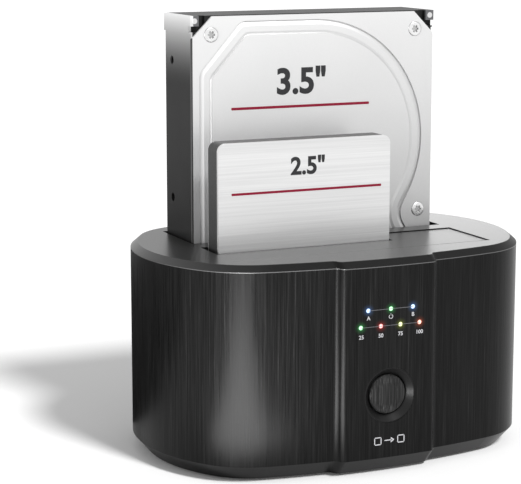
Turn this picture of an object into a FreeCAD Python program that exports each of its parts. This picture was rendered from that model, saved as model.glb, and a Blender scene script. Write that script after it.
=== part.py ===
import FreeCAD, Part
import math
import os
import Sketcher
from FreeCAD import Placement, Rotation, Vector
from types import SimpleNamespace

# A two-bay drive duplicator: an oval desktop dock with a raised front panel, a 3.5-inch drive in its
# rear bay and a 2.5-inch drive in its front bay. Millimetres; the origin is the middle of the
# footprint, +X runs to the right, +Y to the back and +Z up.
SIZES = {
    # the housing's oval, seen from above: the room that it leaves round the bays, and its arcs
    "side_room": 20.6,
    "end_room": 15.0,
    "high": 79.1,
    "long_arc": 230.0,
    "end_arc": 60.0,
    "corner_arc": 30.0,
    "panel_half": 17.2,
    "panel_proud": 2.7,
    "step_arc": 2.2,
    # the housing's walls, rim, skirt and feet
    "wall": 2.0,
    "rim_high": 2.2,
    "rim_in": 2.6,
    "skirt_high": 5.5,
    "skirt_in": 4.8,
    "floor_thick": 2.0,
    "lip_thick": 1.5,
    "lip_high": 2.5,
    "lip_gap": 0.2,
    "foot_proud": 1.0,
    "foot_radius": 5.0,
    "foot_from_end": 26.6,
    "foot_from_side": 23.7,
    "post_in": 5.6,
    "post_y": 16.0,
    "post_radius": 3.0,
    "post_high": 24.0,
    "post_rib": 1.6,
    "screw_shank": 1.4,
    "screw_head": 2.9,
    "screw_head_high": 1.2,
    "screw_long": 9.5,
    "screw_gap": 0.06,
    "vent_wide": 2.4,
    "vent_long": 24.0,
    "vent_pitch": 7.0,
    # the two bays, each as large as the 3.5-inch drive and the room round it
    "bay_long_room": 3.4,
    "bay_wide_room": 4.4,
    "bay_apart": 4.4,
    "bays_back": 0.2,
    "bay_wall": 1.5,
    "collar_deep": 4.9,
    "rear_floor_z": 15.7,
    "front_floor_z": 17.85,
    # the spring flaps that close the bays
    "flap_thick": 0.8,
    "flap_gap": 0.4,
    "flap_tail_gap": 0.5,
    "hinge_drop": 0.9,
    "hinge_in": 1.0,
    "hinge_barrel": 0.8,
    "hinge_pin": 0.6,
    "hinge_gap": 0.05,
    "hinge_bite": 1.1,
    "spring_thick": 0.25,
    "spring_wide": 5.0,
    "spring_long": 12.0,
    "spring_in": 8.5,
    # the main board and what stands on it
    "board_z": 8.0,
    "board_thick": 1.6,
    "board_in": 0.5,
    "board_front_in": 15.35,
    "board_back_in": 16.05,
    "tongue_side": 0.8,
    "tongue_gap": 4.0,
    "boss_in": 3.0,
    "boss_front_in": 6.0,
    "boss_radius": 3.0,
    "board_screw": 1.1,
    "board_screw_head": 2.4,
    "board_screw_high": 1.3,
    "board_screw_long": 4.6,
    "socket_in": 28.5,
    "socket_back": 7.05,
    "socket_half": 20.7,
    "socket_thick": 4.6,
    "socket_top_z": 21.7,
    "window_gap": 1.0,
    "socket_base_half": 21.5,
    "socket_base_thick": 7.4,
    "socket_base_high": 4.2,
    "data_slot": 11.2,
    "power_slot": 21.6,
    "blade_slot": 1.9,
    "slot_deep": 5.5,
    "chip": 10.0,
    "chip_high": 1.2,
    "capacitor_radius": 3.0,
    "capacitor_gap": 0.3,
    "capacitor_apart": 0.6,
    # the rear service panel
    "service_half": 31.0,
    "service_in": 3.05,
    "service_thick": 2.1,
    "service_drop": 0.8,
    "service_high": 18.0,
    "service_edge": 2.0,
    "port_gap": 0.2,
    "port_proud": 0.6,
    "usb_x": -17.0,
    "usb_wide": 12.0,
    "usb_high": 10.8,
    "usb_skin": 0.5,
    "usb_shoulder": 6.7,
    "usb_tongue_low": 2.4,
    "usb_tongue_thick": 2.8,
    "jack_x": 0.0,
    "jack_wide": 9.0,
    "jack_high": 11.0,
    "jack_bore": 3.1,
    "jack_pin": 1.0,
    "port_bay_gap": 1.95,
    "port_wall": 1.5,
    "rocker_x": 18.0,
    "rocker_wide": 9.6,
    "rocker_high": 13.0,
    "rocker_tilt": 7.0,
    "rocker_frame_wide": 13.0,
    "rocker_frame_high": 17.0,
    "rocker_wall": 1.0,
    "rocker_proud": 0.3,
    "rocker_valley": 0.8,
    "rocker_end_gap": 0.6,
    "rocker_heel": 4.0,
    "rocker_shoulder": 2.5,
    "rocker_shoulder_in": 0.9,
    "rocker_pin": 0.65,
    "rocker_pin_bite": 0.6,
    # the front panel's controls
    "lens_radius": 0.8,
    "lens_gap": 0.05,
    "upper_row_down": 15.6,
    "upper_pitch": 9.0,
    "row_pitch": 6.0,
    "lower_pitch": 7.9,
    "button_up": 23.0,
    "dish_radius": 10.15,
    "dish_mouth": 7.7,
    "dish_deep": 2.4,
    "button_radius": 7.2,
    "button_set_back": 1.2,
    "button_dome": 0.35,
    "button_edge": 0.4,
    "button_flange": 8.8,
    "button_flange_thick": 1.0,
    "button_travel": 1.2,
    "panel_board_gap": 5.2,
    "panel_board_half": 16.0,
    "panel_board_under": 9.5,
    "panel_board_over": 4.7,
    "panel_boss_in": 3.0,
    "panel_boss_up": 15.0,
    "diode_high": 1.2,
    "switch_half": 3.1,
    "switch_high": 2.4,
    "plunger_radius": 1.7,
    "plunger_gap": 0.15,
    "plunger_in": 0.4,
    # the 3.5-inch drive
    "hdd_wide": 101.6,
    "hdd_thick": 26.1,
    "hdd_long": 147.0,
    "hdd_side_gap": 0.5,
    "hdd_back_gap": 2.0,
    "hdd_seat_gap": 0.3,
    "cover_thick": 1.0,
    "cover_side": 0.3,
    "cover_top": 0.3,
    "cover_cut": 8.6,
    "track_side": 4.3,
    "track_top": 3.2,
    "track_wide": 1.8,
    "track_deep": 0.7,
    "track_offset": 3.7,
    "track_skin": 0.2,
    "track_corner": 4.0,
    "track_low_in": 12.0,
    "track_side_cut": 18.2,
    "track_top_cut": 16.2,
    "track_lean": 28.0,
    "waist_in": 15.3,
    "waist_round": 8.3,
    "hip_round": 12.0,
    "inner_track_wide": 1.2,
    "inner_track_deep": 0.5,
    "disc_up": 2.3,
    "disc_cavity_in": 5.3,
    "tray_floor": 4.5,
    "arm_floor": 9.5,
    "arm_side": 8.0,
    "arm_low": 16.0,
    "arm_high": 56.0,
    "corner_step": 6.0,
    "corner_step_deep": 1.4,
    "ear_wide": 3.4,
    "ear_high": 3.8,
    "ear_long": 6.5,
    "ear_set_back": 0.1,
    "ear_pin": 1.05,
    "side_relief": 0.6,
    "cover_screw_radius": 2.75,
    "cover_screw_proud": 0.3,
    "cover_screw_in": 8.2,
    "cover_screw_down": 7.0,
    "waist_screw_in": 5.8,
    "waist_screw_down": 28.9,
    "low_screw_in": 6.5,
    "side_hole_radius": 1.6,
    "side_hole_in": 6.35,
    "side_hole_deep": 4.0,
    "side_hole_top": 17.3,
    "side_hole_middle": 69.3,
    "side_hole_low": 118.5,
    "drive_board_thick": 1.2,
    "drive_board_seat": 2.6,
    "drive_board_in": 2.0,
    "drive_board_gap": 0.2,
    "board_low_gap": 0.3,
    "drive_board_under_hub": 8.5,
    "hub_radius": 13.0,
    "hub_gap": 1.5,
    "hub_sunk": 0.6,
    "hub_down": 2.0,
    # the 2.5-inch drive
    "ssd_wide": 69.85,
    "ssd_thick": 9.5,
    "ssd_long": 100.45,
    "ssd_side_gap": 1.5,
    "ssd_back_gap": 3.6,
    "ssd_seat_gap": 0.3,
    "ssd_corner": 3.0,
    "ssd_cover_thick": 1.2,
    "ssd_wall": 1.3,
    "ssd_board_thick": 1.0,
    "ssd_board_gap": 0.3,
    "flash_wide": 18.0,
    "flash_high": 14.0,
    "flash_left": 12.0,
    "flash_low": 38.0,
    "flash_column": 22.0,
    "flash_row": 24.0,
    # the drives' edge connectors
    "shroud_half": 22.9,
    "mouth_half": 21.3,
    "mouth_thick": 5.6,
    "blade_thick": 1.1,
    "blade_gap": 0.5,
    "shroud_floor": 2.0,
    "shroud_gap": 0.1,
    "shroud_skin": 0.7,
    "hdd_mouth_deep": 6.4,
    "ssd_mouth_deep": 4.75,
}


class Size:
    """A length that carries its value and the sheet formula that it comes from."""

    def __init__(self, value, formula):
        self.value = float(value)
        self.formula = formula

    def __add__(self, other):
        other = as_size(other)
        return Size(self.value + other.value, f"({self.formula} + {other.formula})")

    def __sub__(self, other):
        other = as_size(other)
        return Size(self.value - other.value, f"({self.formula} - {other.formula})")

    def __mul__(self, other):
        other = as_size(other)
        return Size(self.value * other.value, f"({self.formula} * {other.formula})")

    def __truediv__(self, other):
        other = as_size(other)
        return Size(self.value / other.value, f"({self.formula} / {other.formula})")

    def __radd__(self, other):
        return as_size(other) + self

    def __rsub__(self, other):
        return as_size(other) - self

    def __rmul__(self, other):
        return as_size(other) * self

    def __neg__(self):
        return as_size(0) - self


def as_size(number):
    if isinstance(number, Size):
        return number
    return Size(number, f"({float(number):.9g})")


doc = FreeCAD.newDocument("DriveDuplicator")
sheet = doc.addObject("Spreadsheet::Sheet", "Sizes")
for row, (alias, number) in enumerate(SIZES.items(), start=1):
    sheet.set(f"A{row}", alias)
    sheet.set(f"B{row}", str(number))
    sheet.setAlias(f"B{row}", alias)
doc.recompute()
s = SimpleNamespace(**{alias: Size(number, f"Sizes.{alias}") for alias, number in SIZES.items()})

PARTS = []


# ---------------------------------------------------------------- ways of making a piece

def bind(thing, **links):
    """Ties properties to the sheet; an underscore in a name stands for the dot of a sub-property."""
    for name, size in links.items():
        thing.setExpression(name.replace("_", "."), as_size(size).formula)


def place(thing, point):
    bind(thing, Placement_Base_x=point[0], Placement_Base_y=point[1], Placement_Base_z=point[2])


def keep(thing, label):
    """Marks a finished sub-part: its label names the file that it is written to."""
    thing.Label = label
    PARTS.append(thing)
    return thing


def block(name, low, high):
    """A box between two corners."""
    box = doc.addObject("Part::Box", name)
    bind(box, Length=high[0] - low[0], Width=high[1] - low[1], Height=high[2] - low[2])
    place(box, low)
    return box


TURNS = {
    "x": Rotation(Vector(0, 1, 0), 90),
    "y": Rotation(Vector(1, 0, 0), -90),
    "z": Rotation(),
}


def rod(name, start, radius, length, along="z"):
    """A cylinder that starts at a point and runs along +X, +Y or +Z."""
    cylinder = doc.addObject("Part::Cylinder", name)
    cylinder.Placement = Placement(Vector(), TURNS[along])
    bind(cylinder, Radius=radius, Height=length)
    place(cylinder, start)
    return cylinder


def together(name, pieces):
    """Separate solids in one object."""
    compound = doc.addObject("Part::Compound", name)
    compound.Links = pieces
    return compound


def fused(name, pieces):
    union = doc.addObject("Part::MultiFuse", name)
    union.Shapes = pieces
    union.Refine = True
    return union


def cut(name, base, tools):
    result = doc.addObject("Part::Cut", name)
    result.Base = base
    result.Tool = tools[0] if len(tools) == 1 else fused(name + "_tools", tools)
    result.Refine = True
    return result


def new_body(label):
    return keep(doc.addObject("PartDesign::Body", label), label)


def origin_feature(body, role):
    return next(item for item in body.Origin.OriginFeatures if item.Role == role)


def sketch(body, name, plane="XY", level=0, shift=(0, 0)):
    """A sketch on one of the body's own planes, at a coordinate along that plane's axis.

    XY is drawn in X and Y, XZ in X and Z, and YZ in Y and Z."""
    drawing = body.newObject("Sketcher::SketchObject", name)
    drawing.AttachmentSupport = [(origin_feature(body, plane + "_Plane"), "")]
    drawing.MapMode = "FlatFace"
    outwards = -as_size(level) if plane == "XZ" else as_size(level)
    bind(drawing, AttachmentOffset_Base_x=shift[0], AttachmentOffset_Base_y=shift[1],
         AttachmentOffset_Base_z=outwards)
    return drawing


def constrain(drawing, kind, *terms, size=None):
    """Adds a constraint, and ties it to the sheet where it has a size."""
    if size is None:
        drawing.addConstraint(Sketcher.Constraint(kind, *terms))
        return
    index = drawing.addConstraint(Sketcher.Constraint(kind, *terms, as_size(size).value))
    drawing.setExpression(f"Constraints[{index}]", as_size(size).formula)


def pin_point(drawing, geometry, vertex, point):
    """Holds a point of the sketch at a place measured from the sketch's origin."""
    constrain(drawing, "DistanceX", -1, 1, geometry, vertex, size=point[0])
    constrain(drawing, "DistanceY", -1, 1, geometry, vertex, size=point[1])


def polygon(drawing, points):
    corners = [Vector(as_size(x).value, as_size(y).value, 0) for x, y in points]
    edges = []
    for corner, following in zip(corners, corners[1:] + corners[:1]):
        edges.append(drawing.addGeometry(Part.LineSegment(corner, following), False))
    for edge, following in zip(edges, edges[1:] + edges[:1]):
        constrain(drawing, "Coincident", edge, 2, following, 1)
    for edge, point in zip(edges, points):
        pin_point(drawing, edge, 1, point)


def rectangle(drawing, low, high):
    polygon(drawing, [low, (high[0], low[1]), high, (low[0], high[1])])


def circle(drawing, centre, radius):
    middle = Vector(as_size(centre[0]).value, as_size(centre[1]).value, 0)
    ring = drawing.addGeometry(Part.Circle(middle, Vector(0, 0, 1), as_size(radius).value), False)
    constrain(drawing, "Radius", ring, size=radius)
    pin_point(drawing, ring, 3, centre)


def pad(body, drawing, length, backwards=False, middle=False):
    feature = body.newObject("PartDesign::Pad", drawing.Name + "_pad")
    feature.Profile = drawing
    bind(feature, Length=length)
    feature.Reversed = backwards
    feature.Midplane = middle
    return feature


def pocket(body, drawing, length=None, backwards=False, middle=False):
    """A pocket, through everything where no length is given, which has to remove something."""
    doc.recompute()
    before = body.Tip.Shape.Volume
    feature = body.newObject("PartDesign::Pocket", drawing.Name + "_pocket")
    feature.Profile = drawing
    if length is None:
        feature.Type = "ThroughAll"
    else:
        bind(feature, Length=length)
    feature.Reversed = backwards
    feature.Midplane = middle
    doc.recompute()
    if not feature.Shape.Volume < before - 0.001:
        raise RuntimeError(f"{feature.Name} removes nothing")
    return feature


def loft(body, first, second):
    feature = body.newObject("PartDesign::AdditiveLoft", first.Name + "_loft")
    feature.Profile = first
    feature.Sections = [second]
    feature.Ruled = True
    return feature


def turned(label, x, z, points):
    """A piece turned about an axis along Y: points are given as a Y and a radius."""
    body = new_body(label)
    drawing = sketch(body, label + "_profile", "YZ", x, (0, z))
    polygon(drawing, points)
    feature = body.newObject("PartDesign::Revolution", label + "_turn")
    feature.Profile = drawing
    feature.ReferenceAxis = (drawing, ["H_Axis"])
    feature.Angle = 360
    return body


# ---------------------------------------------------------------- the oval

bay_half = (s.hdd_wide + s.bay_long_room) / 2
bay_wide = s.hdd_thick + s.bay_wide_room
bay_pitch = bay_wide + 2 * s.bay_wall + s.bay_apart
width = 2 * (bay_half + s.bay_wall + s.side_room)
depth = bay_pitch + bay_wide + 2 * (s.bay_wall + s.end_room)
oval_y = s.panel_proud / 2
rim_z = s.high - s.rim_high
wall_z = s.foot_proud + s.skirt_high
inner = s.wall


def corner_centre():
    """Where the corner arc's centre lies so that it meets the long arc and the end arc smoothly."""
    end_x = width.value / 2 - s.end_arc.value
    long_y = s.long_arc.value - depth.value / 2
    to_long = s.long_arc.value - s.corner_arc.value
    to_end = s.end_arc.value - s.corner_arc.value
    apart = math.hypot(end_x, long_y)
    along = (to_long ** 2 - to_end ** 2 + apart ** 2) / (2 * apart)
    aside = math.sqrt(to_long ** 2 - along ** 2)
    x = (along * end_x + aside * long_y) / apart
    y = -long_y + (along * long_y - aside * end_x) / apart
    return x, y


class OvalSketch:
    """Draws the housing's outline, or the plain oval inside it, moved inwards by an inset."""

    def __init__(self, drawing, inset, panel=True):
        self.drawing = drawing
        self.inset = as_size(inset)
        self.chain = []
        self.long_reach = s.long_arc - depth / 2
        corner_x, corner_y = corner_centre()
        long_tilt = math.atan2(corner_x, corner_y + self.long_reach.value)
        end_tilt = math.atan2(corner_y, corner_x - (width / 2 - s.end_arc).value)
        quarter = math.pi / 2
        long_radius = s.long_arc - self.inset
        end_radius = s.end_arc - self.inset
        corner_radius = s.corner_arc - self.inset
        end_x = width / 2 - s.end_arc
        if panel:
            self.front_with_panel(long_radius, long_tilt)
        else:
            self.arc((0, self.long_reach.value), long_radius, -quarter - long_tilt, -quarter + long_tilt)
        self.arc((corner_x, -corner_y), corner_radius, -quarter + long_tilt, -end_tilt)
        end_right = self.arc((end_x.value, 0), end_radius, -end_tilt, end_tilt)
        self.arc((corner_x, corner_y), corner_radius, end_tilt, quarter - long_tilt)
        back = self.arc((0, -self.long_reach.value), long_radius, quarter - long_tilt, quarter + long_tilt)
        self.arc((-corner_x, corner_y), corner_radius, quarter + long_tilt, math.pi - end_tilt)
        end_left = self.arc((-end_x.value, 0), end_radius, math.pi - end_tilt, math.pi + end_tilt)
        self.arc((-corner_x, -corner_y), corner_radius, math.pi + end_tilt, 1.5 * math.pi - long_tilt)
        self.join()
        pin_point(drawing, end_right, 3, (end_x, 0))
        pin_point(drawing, end_left, 3, (-end_x, 0))
        pin_point(drawing, back, 3, (0, -self.long_reach))
        pin_point(drawing, self.chain[0][0], 3, (0, self.long_reach))

    def arc(self, centre, radius, start, end, hollow=False):
        """Adds an arc to the chain; a hollow one is walked from its end to its start."""
        ring = Part.Circle(Vector(centre[0], centre[1], 0), Vector(0, 0, 1), radius.value)
        index = self.drawing.addGeometry(Part.ArcOfCircle(ring, start, end), False)
        constrain(self.drawing, "Radius", index, size=radius)
        self.chain.append((index, hollow))
        return index

    def front_with_panel(self, long_radius, long_tilt):
        """The front: an arc, a step up to the panel, the panel, and the same again to the right."""
        down = -math.pi / 2
        panel_radius = long_radius + s.panel_proud
        small = s.step_arc.value
        outer_reach = panel_radius.value - small
        inner_reach = long_radius.value + small
        outer_turn = math.asin((s.panel_half.value) / panel_radius.value)
        spread = (outer_reach ** 2 + inner_reach ** 2 - 4 * small ** 2) / (2 * outer_reach * inner_reach)
        inner_turn = outer_turn + math.acos(spread)
        centre_y = self.long_reach.value

        def at(reach, turn):
            return (reach * math.sin(turn), centre_y - reach * math.cos(turn))

        lean = math.atan2(at(inner_reach, inner_turn)[1] - at(outer_reach, outer_turn)[1],
                          at(inner_reach, inner_turn)[0] - at(outer_reach, outer_turn)[0])
        left = self.arc((0, centre_y), long_radius, down - long_tilt, down - inner_turn)
        self.arc(at(inner_reach, -inner_turn), s.step_arc, -lean, math.pi / 2 - inner_turn, hollow=True)
        self.arc(at(outer_reach, -outer_turn), s.step_arc, math.pi - lean, 1.5 * math.pi - outer_turn)
        face = self.arc((0, centre_y), panel_radius, down - outer_turn, down + outer_turn)
        self.arc(at(outer_reach, outer_turn), s.step_arc, down + outer_turn, lean)
        self.arc(at(inner_reach, inner_turn), s.step_arc, math.pi / 2 + inner_turn, math.pi + lean, hollow=True)
        right = self.arc((0, centre_y), long_radius, down + inner_turn, down + long_tilt)
        for piece in (face, right):
            constrain(self.drawing, "Coincident", piece, 3, left, 3)
        constrain(self.drawing, "DistanceX", -1, 1, face, 2, size=s.panel_half)
        constrain(self.drawing, "DistanceX", face, 1, -1, 1, size=s.panel_half)

    def join(self):
        for (index, hollow), (following, next_hollow) in zip(self.chain, self.chain[1:] + self.chain[:1]):
            leaving = 1 if hollow else 2
            entering = 2 if next_hollow else 1
            constrain(self.drawing, "Tangent", index, leaving, following, entering)


def oval(body, name, level, inset, panel=True):
    drawing = sketch(body, name, "XY", level, (0, oval_y))
    OvalSketch(drawing, inset, panel)
    return drawing


# ---------------------------------------------------------------- places that several pieces share

rear_bay_y = oval_y + bay_pitch / 2 + s.bays_back
BAYS = {"rear": rear_bay_y, "front": rear_bay_y - bay_pitch}
FLOORS = {"rear": s.rear_floor_z, "front": s.front_floor_z}
hinge_z = s.high - s.hinge_drop
collar_z = rim_z - s.collar_deep
panel_y = oval_y - depth / 2 - s.panel_proud
wall_y = oval_y - depth / 2 + s.wall
panel_board_y = wall_y + s.panel_board_gap
board_top = s.board_z + s.board_thick
board_half = bay_half - s.board_in
board_front_y = oval_y - depth / 2 + s.board_front_in
board_back_y = oval_y + depth / 2 - s.board_back_in
socket_x = s.socket_in - bay_half
service_y = oval_y + depth / 2 - s.service_in
service_low_z = board_top - s.service_drop
tongue_back_y = service_y - s.tongue_gap
capacitor_near_x = (s.rocker_x + s.rocker_wide / 2 + s.port_gap + s.rocker_wall
                    + s.capacitor_apart + s.capacitor_radius)
capacitor_far_x = capacitor_near_x + 2 * s.capacitor_radius + s.capacitor_apart
tongue_half = capacitor_far_x + s.capacitor_radius + s.tongue_side
rocker_z = service_low_z + s.service_high / 2
button_z = wall_z + s.button_up
upper_row_z = rim_z - s.upper_row_down
lower_row_z = upper_row_z - s.row_pitch


def bay_low(name):
    return BAYS[name] - bay_wide / 2


def bay_high(name):
    return BAYS[name] + bay_wide / 2


def socket_y(name):
    return bay_high(name) - s.socket_back


port_deep = service_y + s.port_proud - bay_high("rear") - s.bay_wall - s.port_bay_gap
LENSES = {
    "lens_drive_a": (-s.upper_pitch, upper_row_z),
    "lens_power": (as_size(0), upper_row_z),
    "lens_drive_b": (s.upper_pitch, upper_row_z),
    "lens_25": (-1.5 * s.lower_pitch, lower_row_z),
    "lens_50": (-0.5 * s.lower_pitch, lower_row_z),
    "lens_75": (0.5 * s.lower_pitch, lower_row_z),
    "lens_100": (1.5 * s.lower_pitch, lower_row_z),
}
post_x = (bay_half + s.bay_wall + width / 2 - s.post_in) / 2
foot_x = width / 2 - s.foot_from_end
foot_y = depth / 2 - s.foot_from_side
boss_x = board_half - s.boss_in
boss_back_y = socket_y("rear") - s.socket_base_thick / 2 - s.boss_radius - 1
POSTS = [(side * post_x, oval_y + end * s.post_y) for side in (-1, 1) for end in (-1, 1)]
FEET = [(side * foot_x, oval_y + end * foot_y) for side in (-1, 1) for end in (-1, 1)]
BOSSES = [(-boss_x, board_front_y + s.boss_front_in), (boss_x, boss_back_y)]
PANEL_BOSSES = [(side * (s.panel_board_half - s.panel_boss_in), button_z + s.panel_boss_up)
                for side in (-1, 1)]

hdd_left = -bay_half + s.hdd_side_gap
hdd_right = hdd_left + s.hdd_wide
hdd_back = bay_high("rear") - s.hdd_back_gap
hdd_front = hdd_back - s.hdd_thick
hdd_low = s.rear_floor_z + s.hdd_seat_gap
hdd_high = hdd_low + s.hdd_long
ssd_left = -bay_half + s.ssd_side_gap
ssd_right = ssd_left + s.ssd_wide
ssd_back = bay_high("front") - s.ssd_back_gap
ssd_front = ssd_back - s.ssd_thick
ssd_low = s.front_floor_z + s.ssd_seat_gap
ssd_high = ssd_low + s.ssd_long
disc_x = hdd_left + s.hdd_wide / 2
disc_z = hdd_high - s.hdd_wide / 2 + s.disc_up
hub_z = disc_z - s.hub_down
drive_board_top = hub_z - s.drive_board_under_hub
COVER_SCREWS = [
    (hdd_left + s.cover_screw_in, hdd_high - s.cover_screw_down),
    (hdd_right - s.cover_screw_in, hdd_high - s.cover_screw_down),
    (hdd_right - s.waist_screw_in, disc_z - s.waist_screw_down),
    (hdd_left + s.low_screw_in, hdd_low + s.low_screw_in),
    (hdd_right - s.low_screw_in, hdd_low + s.low_screw_in)]
SIDE_HOLES = [hdd_high - s.side_hole_top, hdd_high - s.side_hole_middle, hdd_high - s.side_hole_low]


def screws(label, spots, head_z, head_radius, head_high, shank_radius, shank_long, down=True):
    """Pan-head screws on vertical axes: the head's seat is at head_z, and the shank runs below it."""
    pieces = []
    for number, (x, y) in enumerate(spots):
        head_low = head_z if down else head_z - head_high
        shank_low = head_z - shank_long if down else head_z
        head = rod(f"{label}_head_{number}", (x, y, head_low), head_radius, head_high)
        shank = rod(f"{label}_shank_{number}", (x, y, shank_low), shank_radius, shank_long)
        pieces.append(fused(f"{label}_{number}", [head, shank]))
    return keep(together(label, pieces), label)


# ---------------------------------------------------------------- the housing

def outer_shell():
    """The brushed band: an open tube on the oval with posts, a service panel and control holes."""
    body = new_body("outer_shell")
    pad(body, oval(body, "shell_outline", wall_z, 0), rim_z - wall_z)
    pocket(body, oval(body, "shell_inside", rim_z, inner, panel=False))

    service = sketch(body, "service_backing", "XY", service_low_z - s.service_edge, (0, oval_y))
    reach = s.long_arc - depth / 2
    radius = s.long_arc - s.wall / 2
    half_turn = math.asin(s.service_half.value / radius.value)
    middle = Vector(0, -reach.value, 0)
    quarter = math.pi / 2
    ring = Part.Circle(middle, Vector(0, 0, 1), radius.value)
    arc = service.addGeometry(Part.ArcOfCircle(ring, quarter - half_turn, quarter + half_turn), False)
    inside = (service_y - s.service_thick - oval_y).value
    half = s.service_half.value
    rim_y = -reach.value + radius.value * math.cos(half_turn)
    corners = [Vector(-half, rim_y, 0), Vector(-half, inside, 0), Vector(half, inside, 0), Vector(half, rim_y, 0)]
    lines = [service.addGeometry(Part.LineSegment(a, b), False) for a, b in zip(corners, corners[1:])]
    constrain(service, "Coincident", arc, 2, lines[0], 1)
    constrain(service, "Coincident", lines[0], 2, lines[1], 1)
    constrain(service, "Coincident", lines[1], 2, lines[2], 1)
    constrain(service, "Coincident", lines[2], 2, arc, 1)
    constrain(service, "Vertical", lines[0])
    constrain(service, "Vertical", lines[2])
    constrain(service, "Radius", arc, size=radius)
    pin_point(service, arc, 3, (0, -reach))
    pin_point(service, lines[1], 1, (-s.service_half, service_y - s.service_thick - oval_y))
    pin_point(service, lines[1], 2, (s.service_half, service_y - s.service_thick - oval_y))
    pad(body, service, s.service_high + 2 * s.service_edge)

    recess = sketch(body, "service_recess", "XZ", service_y)
    edge = s.service_half - s.service_edge
    rectangle(recess, (-edge, service_low_z), (edge, service_low_z + s.service_high))
    pocket(body, recess)

    windows = sketch(body, "service_windows", "XZ", service_y - s.service_thick - 1)
    gap = s.port_gap
    rectangle(windows, (s.usb_x - s.usb_wide / 2 - gap, board_top - gap),
              (s.usb_x + s.usb_wide / 2 + gap, board_top + s.usb_high + gap))
    rectangle(windows, (s.jack_x - s.jack_wide / 2 - gap, board_top - gap),
              (s.jack_x + s.jack_wide / 2 + gap, board_top + s.jack_high + gap))
    rocker_side = s.rocker_wide / 2 + s.rocker_wall + s.port_gap + gap
    rocker_end = s.rocker_high / 2 + s.rocker_wall + s.port_gap + gap
    rectangle(windows, (s.rocker_x - rocker_side, rocker_z - rocker_end),
              (s.rocker_x + rocker_side, rocker_z + rocker_end))
    pocket(body, windows)

    posts = sketch(body, "posts", "XY", s.foot_proud + s.floor_thick)
    for spot in POSTS:
        circle(posts, spot, s.post_radius)
    pad(body, posts, s.post_high)
    ribs = sketch(body, "post_ribs", "XY", wall_z + s.lip_high + s.port_gap)
    for x, y in POSTS:
        side = math.copysign(1, x.value)
        near = x
        far = side * (width / 2 - 1.5 * s.wall)
        low_x, high_x = (near, far) if side > 0 else (far, near)
        rectangle(ribs, (low_x, y - s.post_rib / 2), (high_x, y + s.post_rib / 2))
    pad(body, ribs, s.post_high / 2)
    bores = sketch(body, "post_bores", "XY", s.foot_proud + s.floor_thick + s.screw_long)
    for spot in POSTS:
        circle(bores, spot, s.screw_shank + s.screw_gap)
    pocket(body, bores)

    bosses = sketch(body, "panel_bosses", "XZ", panel_board_y)
    for spot in PANEL_BOSSES:
        circle(bosses, spot, s.board_screw_head)
    pad(body, bosses, s.panel_board_gap + s.wall / 2)
    boss_bores = sketch(body, "panel_boss_bores", "XZ", panel_board_y - s.panel_board_gap + s.wall / 2)
    for spot in PANEL_BOSSES:
        circle(boss_bores, spot, s.board_screw + s.screw_gap)
    pocket(body, boss_bores, s.panel_board_gap)

    holes = sketch(body, "control_holes", "XZ", wall_y + s.wall)
    for spot in LENSES.values():
        circle(holes, spot, s.lens_radius + s.lens_gap)
    circle(holes, (0, button_z), s.dish_radius + s.lens_gap)
    pocket(body, holes, backwards=True)


def top_cover():
    """The satin lid: a chamfered rim, a plate with two slots and a collar round each slot."""
    body = new_body("top_cover")
    loft(body, oval(body, "rim_foot", rim_z, 0), oval(body, "rim_head", s.high, s.rim_in))
    lip = oval(body, "lid_lip", rim_z, inner + s.lip_gap, panel=False)
    pad(body, lip, s.lip_high, backwards=True)
    hollow = oval(body, "lid_lip_inside", rim_z, inner + s.lip_gap + s.lip_thick, panel=False)
    pocket(body, hollow, s.lip_high, backwards=False)
    for name, middle in BAYS.items():
        collar = sketch(body, f"{name}_collar", "XY", rim_z)
        out = s.bay_wall
        rectangle(collar, (-bay_half - out, bay_low(name) - out), (bay_half + out, bay_high(name) + out))
        pad(body, collar, s.collar_deep, backwards=True)
    for name in BAYS:
        slot = sketch(body, f"{name}_slot", "XY", s.high)
        rectangle(slot, (-bay_half, bay_low(name)), (bay_half, bay_high(name)))
        pocket(body, slot)
    hinges = sketch(body, "hinge_holes", "YZ", 0)
    for name in BAYS:
        circle(hinges, (bay_low(name) + s.hinge_in, hinge_z), s.hinge_pin + s.hinge_gap)
    pocket(body, hinges, 2 * (bay_half + s.hinge_bite + 0.2), middle=True)


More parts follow.
